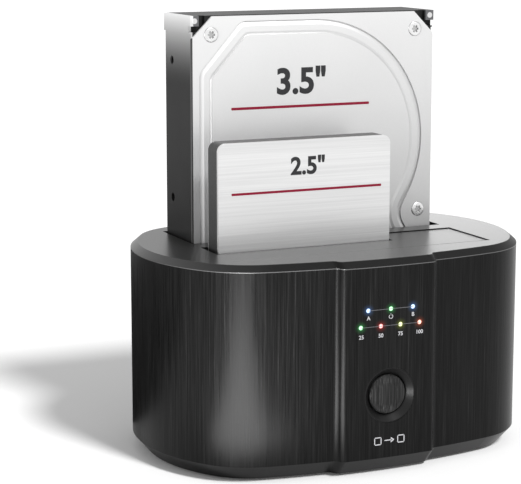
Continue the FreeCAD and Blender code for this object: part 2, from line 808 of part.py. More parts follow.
def base_tray():
    """The skirted foot of the housing: a tapered skirt, a floor with vents, a lip and bosses."""
    body = new_body("base_tray")
    loft(body, oval(body, "skirt_foot", s.foot_proud, s.skirt_in), oval(body, "skirt_head", wall_z, 0))
    inside = oval(body, "tray_inside", wall_z, s.skirt_in + s.wall, panel=False)
    pocket(body, inside, s.skirt_high - s.floor_thick)
    lip = oval(body, "tray_lip", wall_z, inner + s.lip_gap, panel=False)
    pad(body, lip, s.lip_high)
    hollow = oval(body, "tray_lip_inside", wall_z + s.lip_high, inner + s.lip_gap + s.lip_thick, panel=False)
    pocket(body, hollow, s.lip_high)
    notch = sketch(body, "service_notch", "XY", wall_z + s.lip_high)
    aside = s.service_half + s.lip_gap
    rectangle(notch, (-aside, service_y - s.service_thick - s.lip_gap), (aside, oval_y + depth / 2))
    pocket(body, notch, s.lip_high)
    bosses = sketch(body, "board_bosses", "XY", s.foot_proud + s.floor_thick)
    for spot in BOSSES:
        circle(bosses, spot, s.boss_radius)
    pad(body, bosses, s.board_z - s.foot_proud - s.floor_thick)
    boss_bores = sketch(body, "board_boss_bores", "XY", s.board_z)
    for spot in BOSSES:
        circle(boss_bores, spot, s.board_screw + s.screw_gap)
    pocket(body, boss_bores, s.board_screw_long)
    screw_holes = sketch(body, "base_screw_holes", "XY", wall_z)
    for spot in POSTS:
        circle(screw_holes, spot, s.screw_shank + 2 * s.screw_gap)
    pocket(body, screw_holes)
    head_seats = sketch(body, "base_screw_seats", "XY", s.foot_proud + s.screw_head_high)
    for spot in POSTS:
        circle(head_seats, spot, s.screw_head + 2 * s.screw_gap)
    pocket(body, head_seats)
    vent = sketch(body, "vent", "XY", wall_z)
    left = -4 * s.vent_pitch
    rectangle(vent, (left - s.vent_wide / 2, oval_y - s.vent_long / 2),
              (left + s.vent_wide / 2, oval_y + s.vent_long / 2))
    slot = pocket(body, vent)
    row = body.newObject("PartDesign::LinearPattern", "vents")
    row.Originals = [slot]
    row.Direction = (vent, ["H_Axis"])
    bind(row, Length=8 * s.vent_pitch)
    row.Occurrences = 9
    body.Tip = row


def feet_and_screws():
    feet = [rod(f"foot_{number}", (x, y, as_size(0)), s.foot_radius, s.foot_proud)
            for number, (x, y) in enumerate(FEET)]
    keep(together("rubber_feet", feet), "rubber_feet")
    screws("base_screws", POSTS, s.foot_proud + s.screw_head_high, s.screw_head, s.screw_head_high,
           s.screw_shank, s.screw_long, down=False)


# ---------------------------------------------------------------- the bays

def bay_liner(name):
    """The well that guides a drive down to its socket: an open box with a window in its floor."""
    body = new_body(f"{name}_bay_liner")
    floor = FLOORS[name]
    out = s.bay_wall
    outline = sketch(body, f"{name}_well", "XY", floor - out)
    rectangle(outline, (-bay_half - out, bay_low(name) - out), (bay_half + out, bay_high(name) + out))
    pad(body, outline, collar_z - floor + out)
    inside = sketch(body, f"{name}_well_inside", "XY", collar_z)
    rectangle(inside, (-bay_half, bay_low(name)), (bay_half, bay_high(name)))
    pocket(body, inside, collar_z - floor)
    window = sketch(body, f"{name}_socket_window", "XY", floor)
    side = s.socket_half + s.window_gap
    aside = s.socket_thick / 2 + s.window_gap
    rectangle(window, (socket_x - side, socket_y(name) - aside), (socket_x + side, socket_y(name) + aside))
    pocket(body, window)


def bay_flap(name, opened):
    """A spring flap: an L-shaped plate round the 2.5-inch notch, a hinge barrel and two end pins.

    It is drawn closed about its hinge line, and opened turns its far edge down into the bay."""
    body = new_body(f"{name}_flap")
    half = bay_half - s.flap_gap
    plate = sketch(body, f"{name}_flap_plate", "XY", s.hinge_barrel - s.flap_thick - s.flap_tail_gap / 2)
    tail = bay_wide - s.hinge_in - s.flap_tail_gap
    notch_x = ssd_right + 2 * s.flap_tail_gap
    notch_y = ssd_front - bay_low("front") - s.hinge_in - 2 * s.flap_tail_gap
    polygon(plate, [(-half, 0), (half, 0), (half, tail), (notch_x, tail), (notch_x, notch_y), (-half, notch_y)])
    pad(body, plate, s.flap_thick)
    barrel = sketch(body, f"{name}_flap_barrel", "YZ", 0)
    circle(barrel, (0, 0), s.hinge_barrel)
    pad(body, barrel, 2 * half, middle=True)
    pins = sketch(body, f"{name}_flap_pins", "YZ", 0)
    circle(pins, (0, 0), s.hinge_pin)
    pad(body, pins, 2 * (bay_half + s.hinge_bite), middle=True)
    body.Placement = Placement(Vector(), Rotation(Vector(1, 0, 0), -opened))
    place(body, (as_size(0), bay_low(name) + s.hinge_in, hinge_z))


def flap_springs():
    """A flat spring on each bay's front wall, under the flap's barrel."""
    strips = []
    spring_x = bay_half - s.spring_in
    for name in BAYS:
        top = hinge_z - s.hinge_barrel - s.hinge_gap
        low = (spring_x - s.spring_wide / 2, bay_low(name), top - s.spring_long)
        high = (spring_x + s.spring_wide / 2, bay_low(name) + s.spring_thick, top)
        strips.append(block(f"{name}_spring", low, high))
    keep(together("flap_springs", strips), "flap_springs")


# ---------------------------------------------------------------- the electronics

def main_board():
    body = new_body("main_board")
    outline = sketch(body, "board_outline", "XY", s.board_z)
    polygon(outline, [
        (-board_half, board_front_y), (board_half, board_front_y),
        (board_half, board_back_y), (tongue_half, board_back_y),
        (tongue_half, tongue_back_y), (-tongue_half, tongue_back_y),
        (-tongue_half, board_back_y), (-board_half, board_back_y)])
    pad(body, outline, s.board_thick)
    holes = sketch(body, "board_holes", "XY", board_top)
    for spot in BOSSES:
        circle(holes, spot, s.board_screw + s.screw_gap)
    pocket(body, holes)
    screws("board_screws", BOSSES, board_top, s.board_screw_head, s.board_screw_high,
           s.board_screw, s.board_screw_long)


def drive_socket(name):
    """A drive socket: a foot on the board and a tongue with the data slot and the power slot."""
    body = new_body(f"{name}_drive_socket")
    y = socket_y(name)
    foot = sketch(body, f"{name}_socket_foot", "XY", board_top)
    rectangle(foot, (socket_x - s.socket_base_half, y - s.socket_base_thick / 2),
              (socket_x + s.socket_base_half, y + s.socket_base_thick / 2))
    pad(body, foot, s.socket_base_high)
    tongue = sketch(body, f"{name}_socket_tongue", "XY", board_top + s.socket_base_high)
    rectangle(tongue, (socket_x - s.socket_half, y - s.socket_thick / 2),
              (socket_x + s.socket_half, y + s.socket_thick / 2))
    pad(body, tongue, s.socket_top_z - board_top - s.socket_base_high)
    slots = sketch(body, f"{name}_socket_slots", "XY", s.socket_top_z)
    for low, high in blade_spans(s.blade_gap):
        rectangle(slots, (low, y - s.blade_slot / 2), (high, y + s.blade_slot / 2))
    pocket(body, slots, s.slot_deep)


def blade_spans(wider):
    """Where the two contact blades run along X; wider lengthens them into the socket's slots."""
    left = socket_x - s.socket_half + 2
    right = socket_x + s.socket_half - 2
    return [(left - wider, left - wider + s.data_slot - 2 * s.blade_gap + 2 * wider),
            (right + wider - s.power_slot + 2 * s.blade_gap - 2 * wider, right + wider)]


def board_parts():
    """Two bridge chips between the bays' sockets and three capacitors on the board's tongue."""
    chips = []
    for number, y in enumerate((BAYS["rear"] - 2, BAYS["front"] - 2)):
        low = (board_half / 2, y - s.chip / 2, board_top)
        high = (board_half / 2 + s.chip, y + s.chip / 2, board_top + s.chip_high)
        chips.append(block(f"chip_{number}", low, high))
    keep(together("bridge_chips", chips), "bridge_chips")
    row_y = tongue_back_y - s.capacitor_radius - s.tongue_side
    high = s.rear_floor_z - s.bay_wall - board_top - s.capacitor_gap
    cans = [rod(f"capacitor_{number}", (x, row_y, board_top), s.capacitor_radius, high)
            for number, x in enumerate((-capacitor_far_x, capacitor_near_x, capacitor_far_x))]
    keep(together("board_capacitors", cans), "board_capacitors")


def usb_socket():
    """The square data socket: a folded metal shell round a stepped mouth with a contact tongue."""
    body = new_body("usb_socket")
    mouth_y = service_y + s.port_proud
    shell = sketch(body, "usb_shell", "XZ", mouth_y)
    left = s.usb_x - s.usb_wide / 2
    right = s.usb_x + s.usb_wide / 2
    top = board_top + s.usb_high
    rectangle(shell, (left, board_top), (right, top))
    pad(body, shell, port_deep)
    mouth = sketch(body, "usb_mouth", "XZ", mouth_y)
    skin = s.usb_skin
    neck = s.usb_wide / 6
    shoulder = board_top + s.usb_shoulder
    polygon(mouth, [(left + skin, board_top + skin), (right - skin, board_top + skin),
                    (right - skin, shoulder), (right - neck, shoulder),
                    (right - neck, top - skin), (left + neck, top - skin),
                    (left + neck, shoulder), (left + skin, shoulder)])
    pocket(body, mouth, port_deep - s.port_wall, backwards=True)
    tongue = sketch(body, "usb_tongue", "XZ", mouth_y - 1)
    tongue_low = board_top + s.usb_tongue_low
    rectangle(tongue, (s.usb_x - s.usb_wide / 4, tongue_low),
              (s.usb_x + s.usb_wide / 4, tongue_low + s.usb_tongue_thick))
    pad(body, tongue, port_deep - s.port_wall)


def power_jack():
    """The low-voltage inlet: a block with a round bore and a centre pin."""
    body = new_body("power_jack")
    mouth_y = service_y + s.port_proud
    box = sketch(body, "jack_box", "XZ", mouth_y)
    rectangle(box, (s.jack_x - s.jack_wide / 2, board_top), (s.jack_x + s.jack_wide / 2, board_top + s.jack_high))
    pad(body, box, port_deep)
    bore = sketch(body, "jack_mouth", "XZ", mouth_y)
    circle(bore, (s.jack_x, board_top + s.jack_high / 2), s.jack_bore)
    pocket(body, bore, port_deep - s.port_wall, backwards=True)
    pin = sketch(body, "jack_pin", "XZ", mouth_y - 1)
    circle(pin, (s.jack_x, board_top + s.jack_high / 2), s.jack_pin)
    pad(body, pin, port_deep - s.port_wall)


def power_switch():
    """A snap-in frame with a flange, and the rocker that tips about the middle of it."""
    frame = new_body("rocker_frame")
    flange = sketch(frame, "rocker_flange", "XZ", service_y)
    rectangle(flange, (s.rocker_x - s.rocker_frame_wide / 2, rocker_z - s.rocker_frame_high / 2),
              (s.rocker_x + s.rocker_frame_wide / 2, rocker_z + s.rocker_frame_high / 2))
    pad(frame, flange, s.rocker_wall, backwards=True)
    case = sketch(frame, "rocker_case", "XZ", service_y)
    side = s.rocker_wide / 2 + s.port_gap
    end = s.rocker_high / 2 + s.port_gap
    skin = s.rocker_wall
    rectangle(case, (s.rocker_x - side - skin, rocker_z - end - skin),
              (s.rocker_x + side + skin, rocker_z + end + skin))
    pad(frame, case, port_deep - s.port_proud)
    mouth = sketch(frame, "rocker_mouth", "XZ", service_y + s.rocker_wall)
    rectangle(mouth, (s.rocker_x - side, rocker_z - end), (s.rocker_x + side, rocker_z + end))
    pocket(frame, mouth, port_deep - s.port_proud - skin, backwards=True)
    bearings = sketch(frame, "rocker_bearings", "YZ", s.rocker_x)
    circle(bearings, (service_y, rocker_z), s.rocker_pin + s.hinge_gap)
    pocket(frame, bearings, 2 * (side + s.rocker_pin_bite + s.hinge_gap), middle=True)

    rocker = new_body("power_rocker")
    profile = sketch(rocker, "rocker_profile", "YZ", -s.rocker_wide / 2)
    tip = s.rocker_high / 2 - s.rocker_end_gap
    proud = s.rocker_wall + s.rocker_proud
    shoulder = tip - s.rocker_shoulder_in
    polygon(profile, [(s.rocker_valley, 0), (proud, -tip), (-s.rocker_shoulder, -shoulder),
                      (-s.rocker_heel, 0), (-s.rocker_shoulder, shoulder), (proud, tip)])
    pad(rocker, profile, s.rocker_wide)
    pins = sketch(rocker, "rocker_pins", "YZ", 0)
    circle(pins, (0, 0), s.rocker_pin)
    pad(rocker, pins, 2 * (side + s.rocker_pin_bite), middle=True)
    tilt = s.rocker_tilt.value
    rocker.Placement = Placement(Vector(), Rotation(Vector(1, 0, 0), tilt))
    place(rocker, (s.rocker_x, service_y, rocker_z))


# ---------------------------------------------------------------- the front panel's controls

def panel_face_y(x):
    """The panel's front surface at a distance from its middle."""
    radius = s.long_arc.value + s.panel_proud.value
    return panel_y + (radius - math.sqrt(radius ** 2 - as_size(x).value ** 2))


def lenses():
    """Seven light pipes, each from its diode on the panel board to the panel's face."""
    for name, (x, z) in LENSES.items():
        start = panel_face_y(x) + 0.1
        end = panel_board_y - s.diode_high - s.port_gap
        pipe = rod(name + "_pipe", (x, start, z), s.lens_radius, end - start, "y")
        keep(pipe, name)


def panel_board():
    """The upright board behind the panel with its diodes and the push switch."""
    body = new_body("panel_board")
    outline = sketch(body, "panel_board_outline", "XZ", panel_board_y)
    rectangle(outline, (-s.panel_board_half, button_z - s.panel_board_under),
              (s.panel_board_half, upper_row_z + s.panel_board_over))
    pad(body, outline, s.board_thick, backwards=True)
    holes = sketch(body, "panel_board_holes", "XZ", panel_board_y)
    for spot in PANEL_BOSSES:
        circle(holes, spot, s.board_screw + s.screw_gap)
    pocket(body, holes, s.board_thick)
    diodes = []
    for name, (x, z) in LENSES.items():
        low = (x - s.lens_radius, panel_board_y - s.diode_high, z - s.lens_radius)
        high = (x + s.lens_radius, panel_board_y, z + s.lens_radius)
        diodes.append(block(name + "_diode", low, high))
    keep(together("indicator_diodes", diodes), "indicator_diodes")
    fasteners = []
    for number, (x, z) in enumerate(PANEL_BOSSES):
        back = panel_board_y + s.board_thick
        head = rod(f"panel_screw_head_{number}", (x, back, z), s.board_screw_head, s.board_screw_high, "y")
        tip = back - s.board_screw_long
        shank = rod(f"panel_screw_shank_{number}", (x, tip, z), s.board_screw, s.board_screw_long, "y")
        fasteners.append(fused(f"panel_screw_{number}", [head, shank]))
    keep(together("panel_board_screws", fasteners), "panel_board_screws")
    case_low = (-s.switch_half, panel_board_y - s.switch_high, button_z - s.switch_half)
    case_high = (s.switch_half, panel_board_y, button_z + s.switch_half)
    bore = rod("switch_bore", (as_size(0), panel_board_y - s.switch_high, button_z),
               s.plunger_radius + s.plunger_gap, s.button_travel + s.plunger_in + 0.2, "y")
    keep(cut("button_switch", block("switch_case", case_low, case_high), [bore]), "button_switch")


def button_and_dish():
    """The dished ring round the button, and the turned button with its retaining flange."""
    edge_y = panel_y + 0.25
    turned("button_dish", 0, button_z, [
        (edge_y, s.dish_radius), (edge_y, s.dish_radius - 0.4), (panel_y + s.dish_deep, s.dish_mouth),
        (wall_y - 0.2, s.dish_mouth), (wall_y - 0.2, s.dish_radius)])
    front = panel_y + s.button_set_back
    flange_y = wall_y + 0.1
    flange_back = flange_y + s.button_flange_thick
    plunger_y = panel_board_y - s.switch_high + s.plunger_in
    turned("clone_button", 0, button_z, [
        (front, 0), (front, 0.5 * s.button_radius), (front + s.button_dome, s.button_radius - s.button_edge),
        (front + s.button_dome + s.button_edge, s.button_radius),
        (flange_y, s.button_radius), (flange_y, s.button_flange),
        (flange_back, s.button_flange), (flange_back, s.plunger_radius),
        (plunger_y, s.plunger_radius), (plunger_y, 0)])


# ---------------------------------------------------------------- the 3.5-inch drive

def drive_shroud(name, y, low_z, mouth_deep, back_y):
    """A drive's edge connector: a block with a mouth for the socket and two blades in it."""
    body = new_body(f"{name}_connector")
    block_sketch = sketch(body, f"{name}_shroud", "XY", low_z)
    rectangle(block_sketch, (socket_x - s.shroud_half, y - s.mouth_thick / 2 - s.shroud_skin),
              (socket_x + s.shroud_half, back_y))
    pad(body, block_sketch, mouth_deep + s.shroud_floor)
    mouth = sketch(body, f"{name}_mouth", "XY", low_z)
    rectangle(mouth, (socket_x - s.mouth_half, y - s.mouth_thick / 2),
              (socket_x + s.mouth_half, y + s.mouth_thick / 2))
    pocket(body, mouth, mouth_deep, backwards=True)
    blades = sketch(body, f"{name}_blades", "XY", low_z + mouth_deep)
    for low, high in blade_spans(as_size(0)):
        rectangle(blades, (low, y - s.blade_thick / 2), (high, y + s.blade_thick / 2))
    pad(body, blades, mouth_deep - 1, backwards=True)


def hdd_casting():
    """The cast tray: disc and arm cavities at the front, board seat, hub and holes at the back.

    Its full width is at the corners only, and each top corner has an ear with a location pin."""
    body = new_body("hdd_casting")
    tray_front = hdd_front + s.cover_thick
    outline = sketch(body, "tray_outline", "XZ", hdd_back)
    rectangle(outline, (hdd_left, hdd_low), (hdd_right, hdd_high))
    pad(body, outline, hdd_back - tray_front)
    inner_y = hdd_back - s.drive_board_seat
    discs = sketch(body, "disc_cavity", "XZ", tray_front)
    circle(discs, (disc_x, disc_z), s.hdd_wide / 2 - s.disc_cavity_in)
    pocket(body, discs, inner_y - s.tray_floor - tray_front)
    arm = sketch(body, "arm_cavity", "XZ", tray_front)
    rectangle(arm, (hdd_left + s.arm_side, hdd_low + s.arm_low), (hdd_right - s.arm_side, hdd_low + s.arm_high))
    pocket(body, arm, inner_y - s.arm_floor - tray_front)
    seat = sketch(body, "drive_board_seat", "XZ", hdd_back)
    seat_in = s.drive_board_in - s.drive_board_gap
    rectangle(seat, (hdd_left + seat_in, hdd_low), (hdd_right - seat_in, drive_board_top + s.drive_board_gap))
    pocket(body, seat, s.drive_board_seat, backwards=True)
    hub = sketch(body, "spindle_hub", "XZ", inner_y)
    circle(hub, (disc_x, hub_z), s.hub_radius)
    pad(body, hub, s.drive_board_seat - s.hub_sunk, backwards=True)
    shroud = sketch(body, "shroud_seat", "XY", hdd_low)
    y = socket_y("rear")
    aside = s.shroud_half + s.shroud_gap
    rectangle(shroud, (socket_x - aside, y - s.mouth_thick / 2 - s.shroud_skin - s.shroud_gap),
              (socket_x + aside, hdd_back))
    pocket(body, shroud, s.hdd_mouth_deep + s.shroud_floor + s.shroud_gap, backwards=True)
    reliefs = sketch(body, "side_reliefs", "XZ", tray_front)
    for outside, inside in ((hdd_left, hdd_left + s.side_relief), (hdd_right, hdd_right - s.side_relief)):
        low_x, high_x = sorted((outside, inside), key=lambda edge: edge.value)
        rectangle(reliefs, (low_x, hdd_low + s.ear_long), (high_x, hdd_high - s.ear_long))
    pocket(body, reliefs)
    holes = sketch(body, "side_holes", "YZ", hdd_left)
    for z in SIDE_HOLES:
        circle(holes, (hdd_back - s.side_hole_in, z), s.side_hole_radius)
    pocket(body, holes, s.side_hole_deep, backwards=True)
    far_holes = sketch(body, "far_side_holes", "YZ", hdd_right)
    for z in SIDE_HOLES:
        circle(far_holes, (hdd_back - s.side_hole_in, z), s.side_hole_radius)
    pocket(body, far_holes, s.side_hole_deep)
    corners = sketch(body, "corner_steps", "XZ", tray_front)
    for low_x, high_x in ((hdd_left, hdd_left + s.corner_step), (hdd_right - s.corner_step, hdd_right)):
        rectangle(corners, (low_x, hdd_high - s.corner_step), (high_x, hdd_high))
    pocket(body, corners, s.corner_step_deep)
    ears = sketch(body, "ears", "XZ", tray_front + s.corner_step_deep)
    for low_x, high_x in ((hdd_left, hdd_left + s.ear_wide), (hdd_right - s.ear_wide, hdd_right)):
        rectangle(ears, (low_x, hdd_high - s.ear_high), (high_x, hdd_high))
    pad(body, ears, s.corner_step_deep + s.cover_thick - s.ear_set_back)
    pins = sketch(body, "ear_pins", "XZ", hdd_front + s.ear_set_back)
    for x in (hdd_left + s.ear_wide / 2, hdd_right - s.ear_wide / 2):
        circle(pins, (x, hdd_high - s.ear_high / 2), s.ear_pin)
    pad(body, pins, s.ear_set_back)


def track_points(aside):
    """The pressed track round the discs and the arm: corners with their radii, moved inwards."""
    left = hdd_left.value + s.track_side.value
    top = hdd_high.value - s.track_top.value
    disc_radius = top - disc_z.value
    lean = math.radians(s.track_lean.value)
    slope = math.tan(lean)
    touch_x = disc_x.value + disc_radius * math.cos(lean)
    touch_z = disc_z.value - disc_radius * math.sin(lean)
    waist_x = hdd_right.value - s.waist_in.value
    waist_z = touch_z - (touch_x - waist_x) / slope
    right = hdd_right.value - s.track_side.value
    low = hdd_low.value + s.track_side.value
    low_in = s.track_low_in.value
    corner = s.track_corner.value
    corners = [
        (left, low + low_in, corner), (left, top - s.track_side_cut.value, corner),
        (left + s.track_top_cut.value, top, corner), (touch_x + (top - touch_z) * slope, top, disc_radius),
        (waist_x, waist_z, -s.waist_round.value),
        (right, waist_z - (right - waist_x) / slope, s.hip_round.value), (right, low + low_in, corner),
        (right - low_in, low, corner), (left + low_in, low, corner)]
    moved = []
    for index, (x, z, radius) in enumerate(corners):
        before = corners[index - 1]
        after = corners[(index + 1) % len(corners)]
        into = Vector(x - before[0], z - before[1], 0).normalize()
        out = Vector(after[0] - x, after[1] - z, 0).normalize()
        inward = Vector(into.y, -into.x, 0) + Vector(out.y, -out.x, 0)
        step = inward * (2 * aside / inward.Length ** 2)
        kept = radius == corner
        moved.append((Vector(x, z, 0) + step, abs(radius if kept else radius - aside)))
    return moved


def track_sketch(body, name, aside):
    """A closed line with its corners rounded, on the cover's face."""
    drawing = sketch(body, name, "XZ", hdd_front)
    points = track_points(aside)
    rounds = []
    for index, (corner, radius) in enumerate(points):
        into = (corner - points[index - 1][0]).normalize()
        out = (points[(index + 1) % len(points)][0] - corner).normalize()
        half_turn = into.getAngle(out) / 2
        reach = radius * math.tan(half_turn)
        start = corner - into * reach
        end = corner + out * reach
        bisector = (out - into).normalize()
        middle = corner + bisector * (radius / math.cos(half_turn) - radius)
        rounds.append((start, middle, end))
    for index, (start, middle, end) in enumerate(rounds):
        previous_end = rounds[index - 1][2]
        drawing.addGeometry(Part.LineSegment(previous_end, start), False)
        drawing.addGeometry(Part.Arc(start, middle, end), False)
    return drawing


def hdd_cover():
    """The pressed lid with cut corners and a raised band round the discs.

    The band is left between two tracks: the outer one ramps up to it and the inner one ramps down."""
    body = new_body("hdd_cover")
    back = hdd_front + s.cover_thick
    outline = sketch(body, "cover_outline", "XZ", back)
    left = hdd_left + s.cover_side
    right = hdd_right - s.cover_side
    top = hdd_high - s.cover_top
    low = hdd_low + s.cover_side
    side_cut = s.cover_cut - s.cover_side
    top_cut = s.cover_cut - s.cover_top
    polygon(outline, [(left, low), (right, low), (right, top - top_cut), (right - side_cut, top),
                      (left + side_cut, top), (left, top - top_cut)])
    pad(body, outline, s.cover_thick)
    skin = hdd_front - s.track_skin
    for name, aside, wide, outer_deep, inner_deep in (
            ("track", as_size(0), s.track_wide, s.track_deep, as_size(0)),
            ("inner_track", s.track_offset, s.inner_track_wide, as_size(0), s.inner_track_deep)):
        path = track_sketch(body, name + "_line", aside.value)
        outer = hdd_left + s.track_side + aside - wide / 2
        section = sketch(body, name + "_section", "XY", hdd_low + s.hdd_long / 2)
        polygon(section, [(outer, skin), (outer + wide, skin), (outer + wide, hdd_front + inner_deep),
                          (outer, hdd_front + outer_deep)])
        groove = body.newObject("PartDesign::SubtractivePipe", name + "_groove")
        groove.Profile = section
        groove.Spine = (path, [])
    seats = sketch(body, "cover_screw_seats", "XZ", hdd_front + s.cover_thick / 2)
    for spot in COVER_SCREWS:
        circle(seats, spot, s.cover_screw_radius + s.screw_gap)
    pocket(body, seats, 2, backwards=True)


def hdd_small_parts():
    heads = []
    for number, (x, z) in enumerate(COVER_SCREWS):
        start = hdd_front - s.cover_screw_proud
        heads.append(rod(f"cover_screw_{number}", (x, start, z), s.cover_screw_radius,
                         s.cover_screw_proud + s.cover_thick / 2, "y"))
    keep(together("hdd_cover_screws", heads), "hdd_cover_screws")
    body = new_body("hdd_circuit_board")
    front = hdd_back - s.drive_board_seat
    outline = sketch(body, "drive_board_outline", "XZ", front)
    inset = s.drive_board_in
    top = drive_board_top
    half = s.hub_radius + s.hub_gap
    hub_low = hub_z - half
    low = hdd_low + s.hdd_mouth_deep + s.shroud_floor + s.board_low_gap
    polygon(outline, [(hdd_left + inset, low), (hdd_right - inset, low), (hdd_right - inset, top),
                      (disc_x + half, top), (disc_x + half, hub_low), (disc_x - half, hub_low),
                      (disc_x - half, top), (hdd_left + inset, top)])
    pad(body, outline, s.drive_board_thick, backwards=True)


# ---------------------------------------------------------------- the 2.5-inch drive

def ssd_plate(body, name, level):
    """The drive's outline with rounded corners, as a sketch."""
    drawing = sketch(body, name, "XZ", level)
    rectangle(drawing, (ssd_left, ssd_low), (ssd_right, ssd_high))
    return drawing


def round_long_edges(body, name, radius):
    """Rounds the four edges that run from the drive's front to its back."""
    doc.recompute()
    base = body.Tip
    edges = []
    for index, edge in enumerate(base.Shape.Edges, start=1):
        box = edge.BoundBox
        if box.YLength > 0.5 and box.XLength < 0.001 and box.ZLength < 0.001:
            edges.append(f"Edge{index}")
    fillet = body.newObject("PartDesign::Fillet", name)
    fillet.Base = (base, edges)
    bind(fillet, Radius=radius)
    return fillet


def ssd():
    cover = new_body("ssd_cover")
    pad(cover, ssd_plate(cover, "ssd_cover_outline", ssd_front + s.ssd_cover_thick), s.ssd_cover_thick)
    round_long_edges(cover, "ssd_cover_corners", s.ssd_corner)

    case = new_body("ssd_case")
    case_front = ssd_front + s.ssd_cover_thick
    pad(case, ssd_plate(case, "ssd_case_outline", ssd_back), ssd_back - case_front)
    round_long_edges(case, "ssd_case_corners", s.ssd_corner)
    inside = sketch(case, "ssd_case_inside", "XZ", case_front)
    wall = s.ssd_wall
    rectangle(inside, (ssd_left + wall, ssd_low + wall), (ssd_right - wall, ssd_high - wall))
    pocket(case, inside, ssd_back - case_front - wall)
    y = socket_y("front")
    seat = sketch(case, "ssd_shroud_seat", "XY", ssd_low)
    aside = s.shroud_half + s.shroud_gap
    rectangle(seat, (socket_x - aside, y - s.mouth_thick / 2 - s.shroud_skin - s.shroud_gap),
              (socket_x + aside, ssd_back))
    pocket(case, seat, s.ssd_mouth_deep + s.shroud_floor + s.shroud_gap, backwards=True)

    board = new_body("ssd_board")
    outline = sketch(board, "ssd_board_outline", "XZ", y + s.ssd_board_thick / 2)
    aside = wall + s.ssd_board_gap
    rectangle(outline, (ssd_left + aside, ssd_low + s.ssd_mouth_deep + s.shroud_floor + s.board_low_gap),
              (ssd_right - aside, ssd_high - aside))
    pad(board, outline, s.ssd_board_thick)
    chips = []
    chip_y = y - s.ssd_board_thick / 2
    for number, (column, row) in enumerate(((0, 0), (1, 0), (0, 1), (1, 1))):
        low = (ssd_left + s.flash_left + column * s.flash_column, chip_y - s.chip_high,
               ssd_low + s.flash_low + row * s.flash_row)
        high = (low[0] + s.flash_wide, chip_y, low[2] + s.flash_high)
        chips.append(block(f"flash_{number}", low, high))
    keep(together("ssd_memory_chips", chips), "ssd_memory_chips")


# ---------------------------------------------------------------- build and write

outer_shell()
top_cover()
base_tray()
feet_and_screws()
for bay in BAYS:
    bay_liner(bay)
    drive_socket(bay)
bay_flap("rear", 90)
bay_flap("front", 0)
flap_springs()
main_board()
board_parts()
usb_socket()
power_jack()
power_switch()
panel_board()
lenses()
button_and_dish()
hdd_casting()
hdd_cover()
hdd_small_parts()
drive_shroud("hdd", socket_y("rear"), hdd_low, s.hdd_mouth_deep, hdd_back - s.hub_sunk)
ssd()
drive_shroud("ssd", socket_y("front"), ssd_low, s.ssd_mouth_deep, ssd_back - s.shroud_gap)
doc.recompute()

for thing in doc.Objects:
    faults = [state for state in thing.State if state in ("Invalid", "Error")]
    if faults:
        raise RuntimeError(f"{thing.Name}: {faults}")
for thing in PARTS:
    if thing.Shape.isNull() or not thing.Shape.isValid():
        raise RuntimeError(f"{thing.Label} has no valid shape")

os.makedirs("parts", exist_ok=True)
for thing in PARTS:
    thing.Shape.exportStep(f"parts/{thing.Label}.step")
print(f"{len(PARTS)} sub-parts written")
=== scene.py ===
import math

import bmesh
import bpy
from mathutils import Matrix, Vector


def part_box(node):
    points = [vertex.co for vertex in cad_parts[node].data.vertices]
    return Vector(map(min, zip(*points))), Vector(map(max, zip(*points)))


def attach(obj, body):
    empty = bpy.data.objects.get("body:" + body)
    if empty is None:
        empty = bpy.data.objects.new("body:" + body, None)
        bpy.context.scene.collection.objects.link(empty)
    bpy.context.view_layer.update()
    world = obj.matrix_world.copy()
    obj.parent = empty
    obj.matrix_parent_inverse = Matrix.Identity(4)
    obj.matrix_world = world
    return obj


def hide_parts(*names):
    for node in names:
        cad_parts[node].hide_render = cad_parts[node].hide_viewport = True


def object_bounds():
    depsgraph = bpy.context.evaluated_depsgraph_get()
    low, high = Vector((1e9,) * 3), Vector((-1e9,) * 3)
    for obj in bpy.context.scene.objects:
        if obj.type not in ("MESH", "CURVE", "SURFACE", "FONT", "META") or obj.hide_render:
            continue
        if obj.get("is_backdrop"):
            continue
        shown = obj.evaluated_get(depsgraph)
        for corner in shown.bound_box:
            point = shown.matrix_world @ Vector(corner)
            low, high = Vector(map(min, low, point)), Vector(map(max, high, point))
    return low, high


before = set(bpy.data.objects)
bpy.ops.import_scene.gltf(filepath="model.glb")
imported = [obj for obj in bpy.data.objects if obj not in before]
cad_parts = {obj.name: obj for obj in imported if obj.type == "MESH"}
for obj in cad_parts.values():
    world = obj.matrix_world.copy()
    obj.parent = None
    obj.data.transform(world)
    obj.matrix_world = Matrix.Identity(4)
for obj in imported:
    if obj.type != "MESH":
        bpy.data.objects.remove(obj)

# The object's box as the CAD model gives it.
cad_low, cad_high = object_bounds()
MM = 0.001


# ---- Camera -------------------------------------------------------------------------------------
# A long lens from the front left, a little above the drives and aimed at the housing's rim.
# It stands where the housing's left end, its panel and both drives' faces are all in view.
camera_data = bpy.data.cameras.new("camera")
camera_data.sensor_width = 36.0
camera_data.lens = 126.8
camera_data.clip_start = 0.05
camera_data.clip_end = 20.0
camera = bpy.data.objects.new("camera", camera_data)
bpy.context.scene.collection.objects.link(camera)
camera.location = Vector((-307.0, -613.95, 201.0)) * MM
camera_aim = Vector((-23.9, 7.65, 77.4)) * MM
camera.rotation_euler = (camera_aim - camera.location).to_track_quat("-Z", "Y").to_euler()
bpy.context.scene.camera = camera
bpy.context.scene.view_settings.view_transform = "Standard"


# ---- Floor --------------------------------------------------------------------------------------
# A wide sheet of matt white studio paper. It takes the object's soft shadow, and its first material
# brings the small class that every finish below is written with: a Signal is a node's output,
# arithmetic on signals adds Math nodes, and make() adds any other node.
COLOUR_A, COLOUR_B, COLOUR_OUT = 6, 7, 2  # the Mix node's sockets when it mixes colours


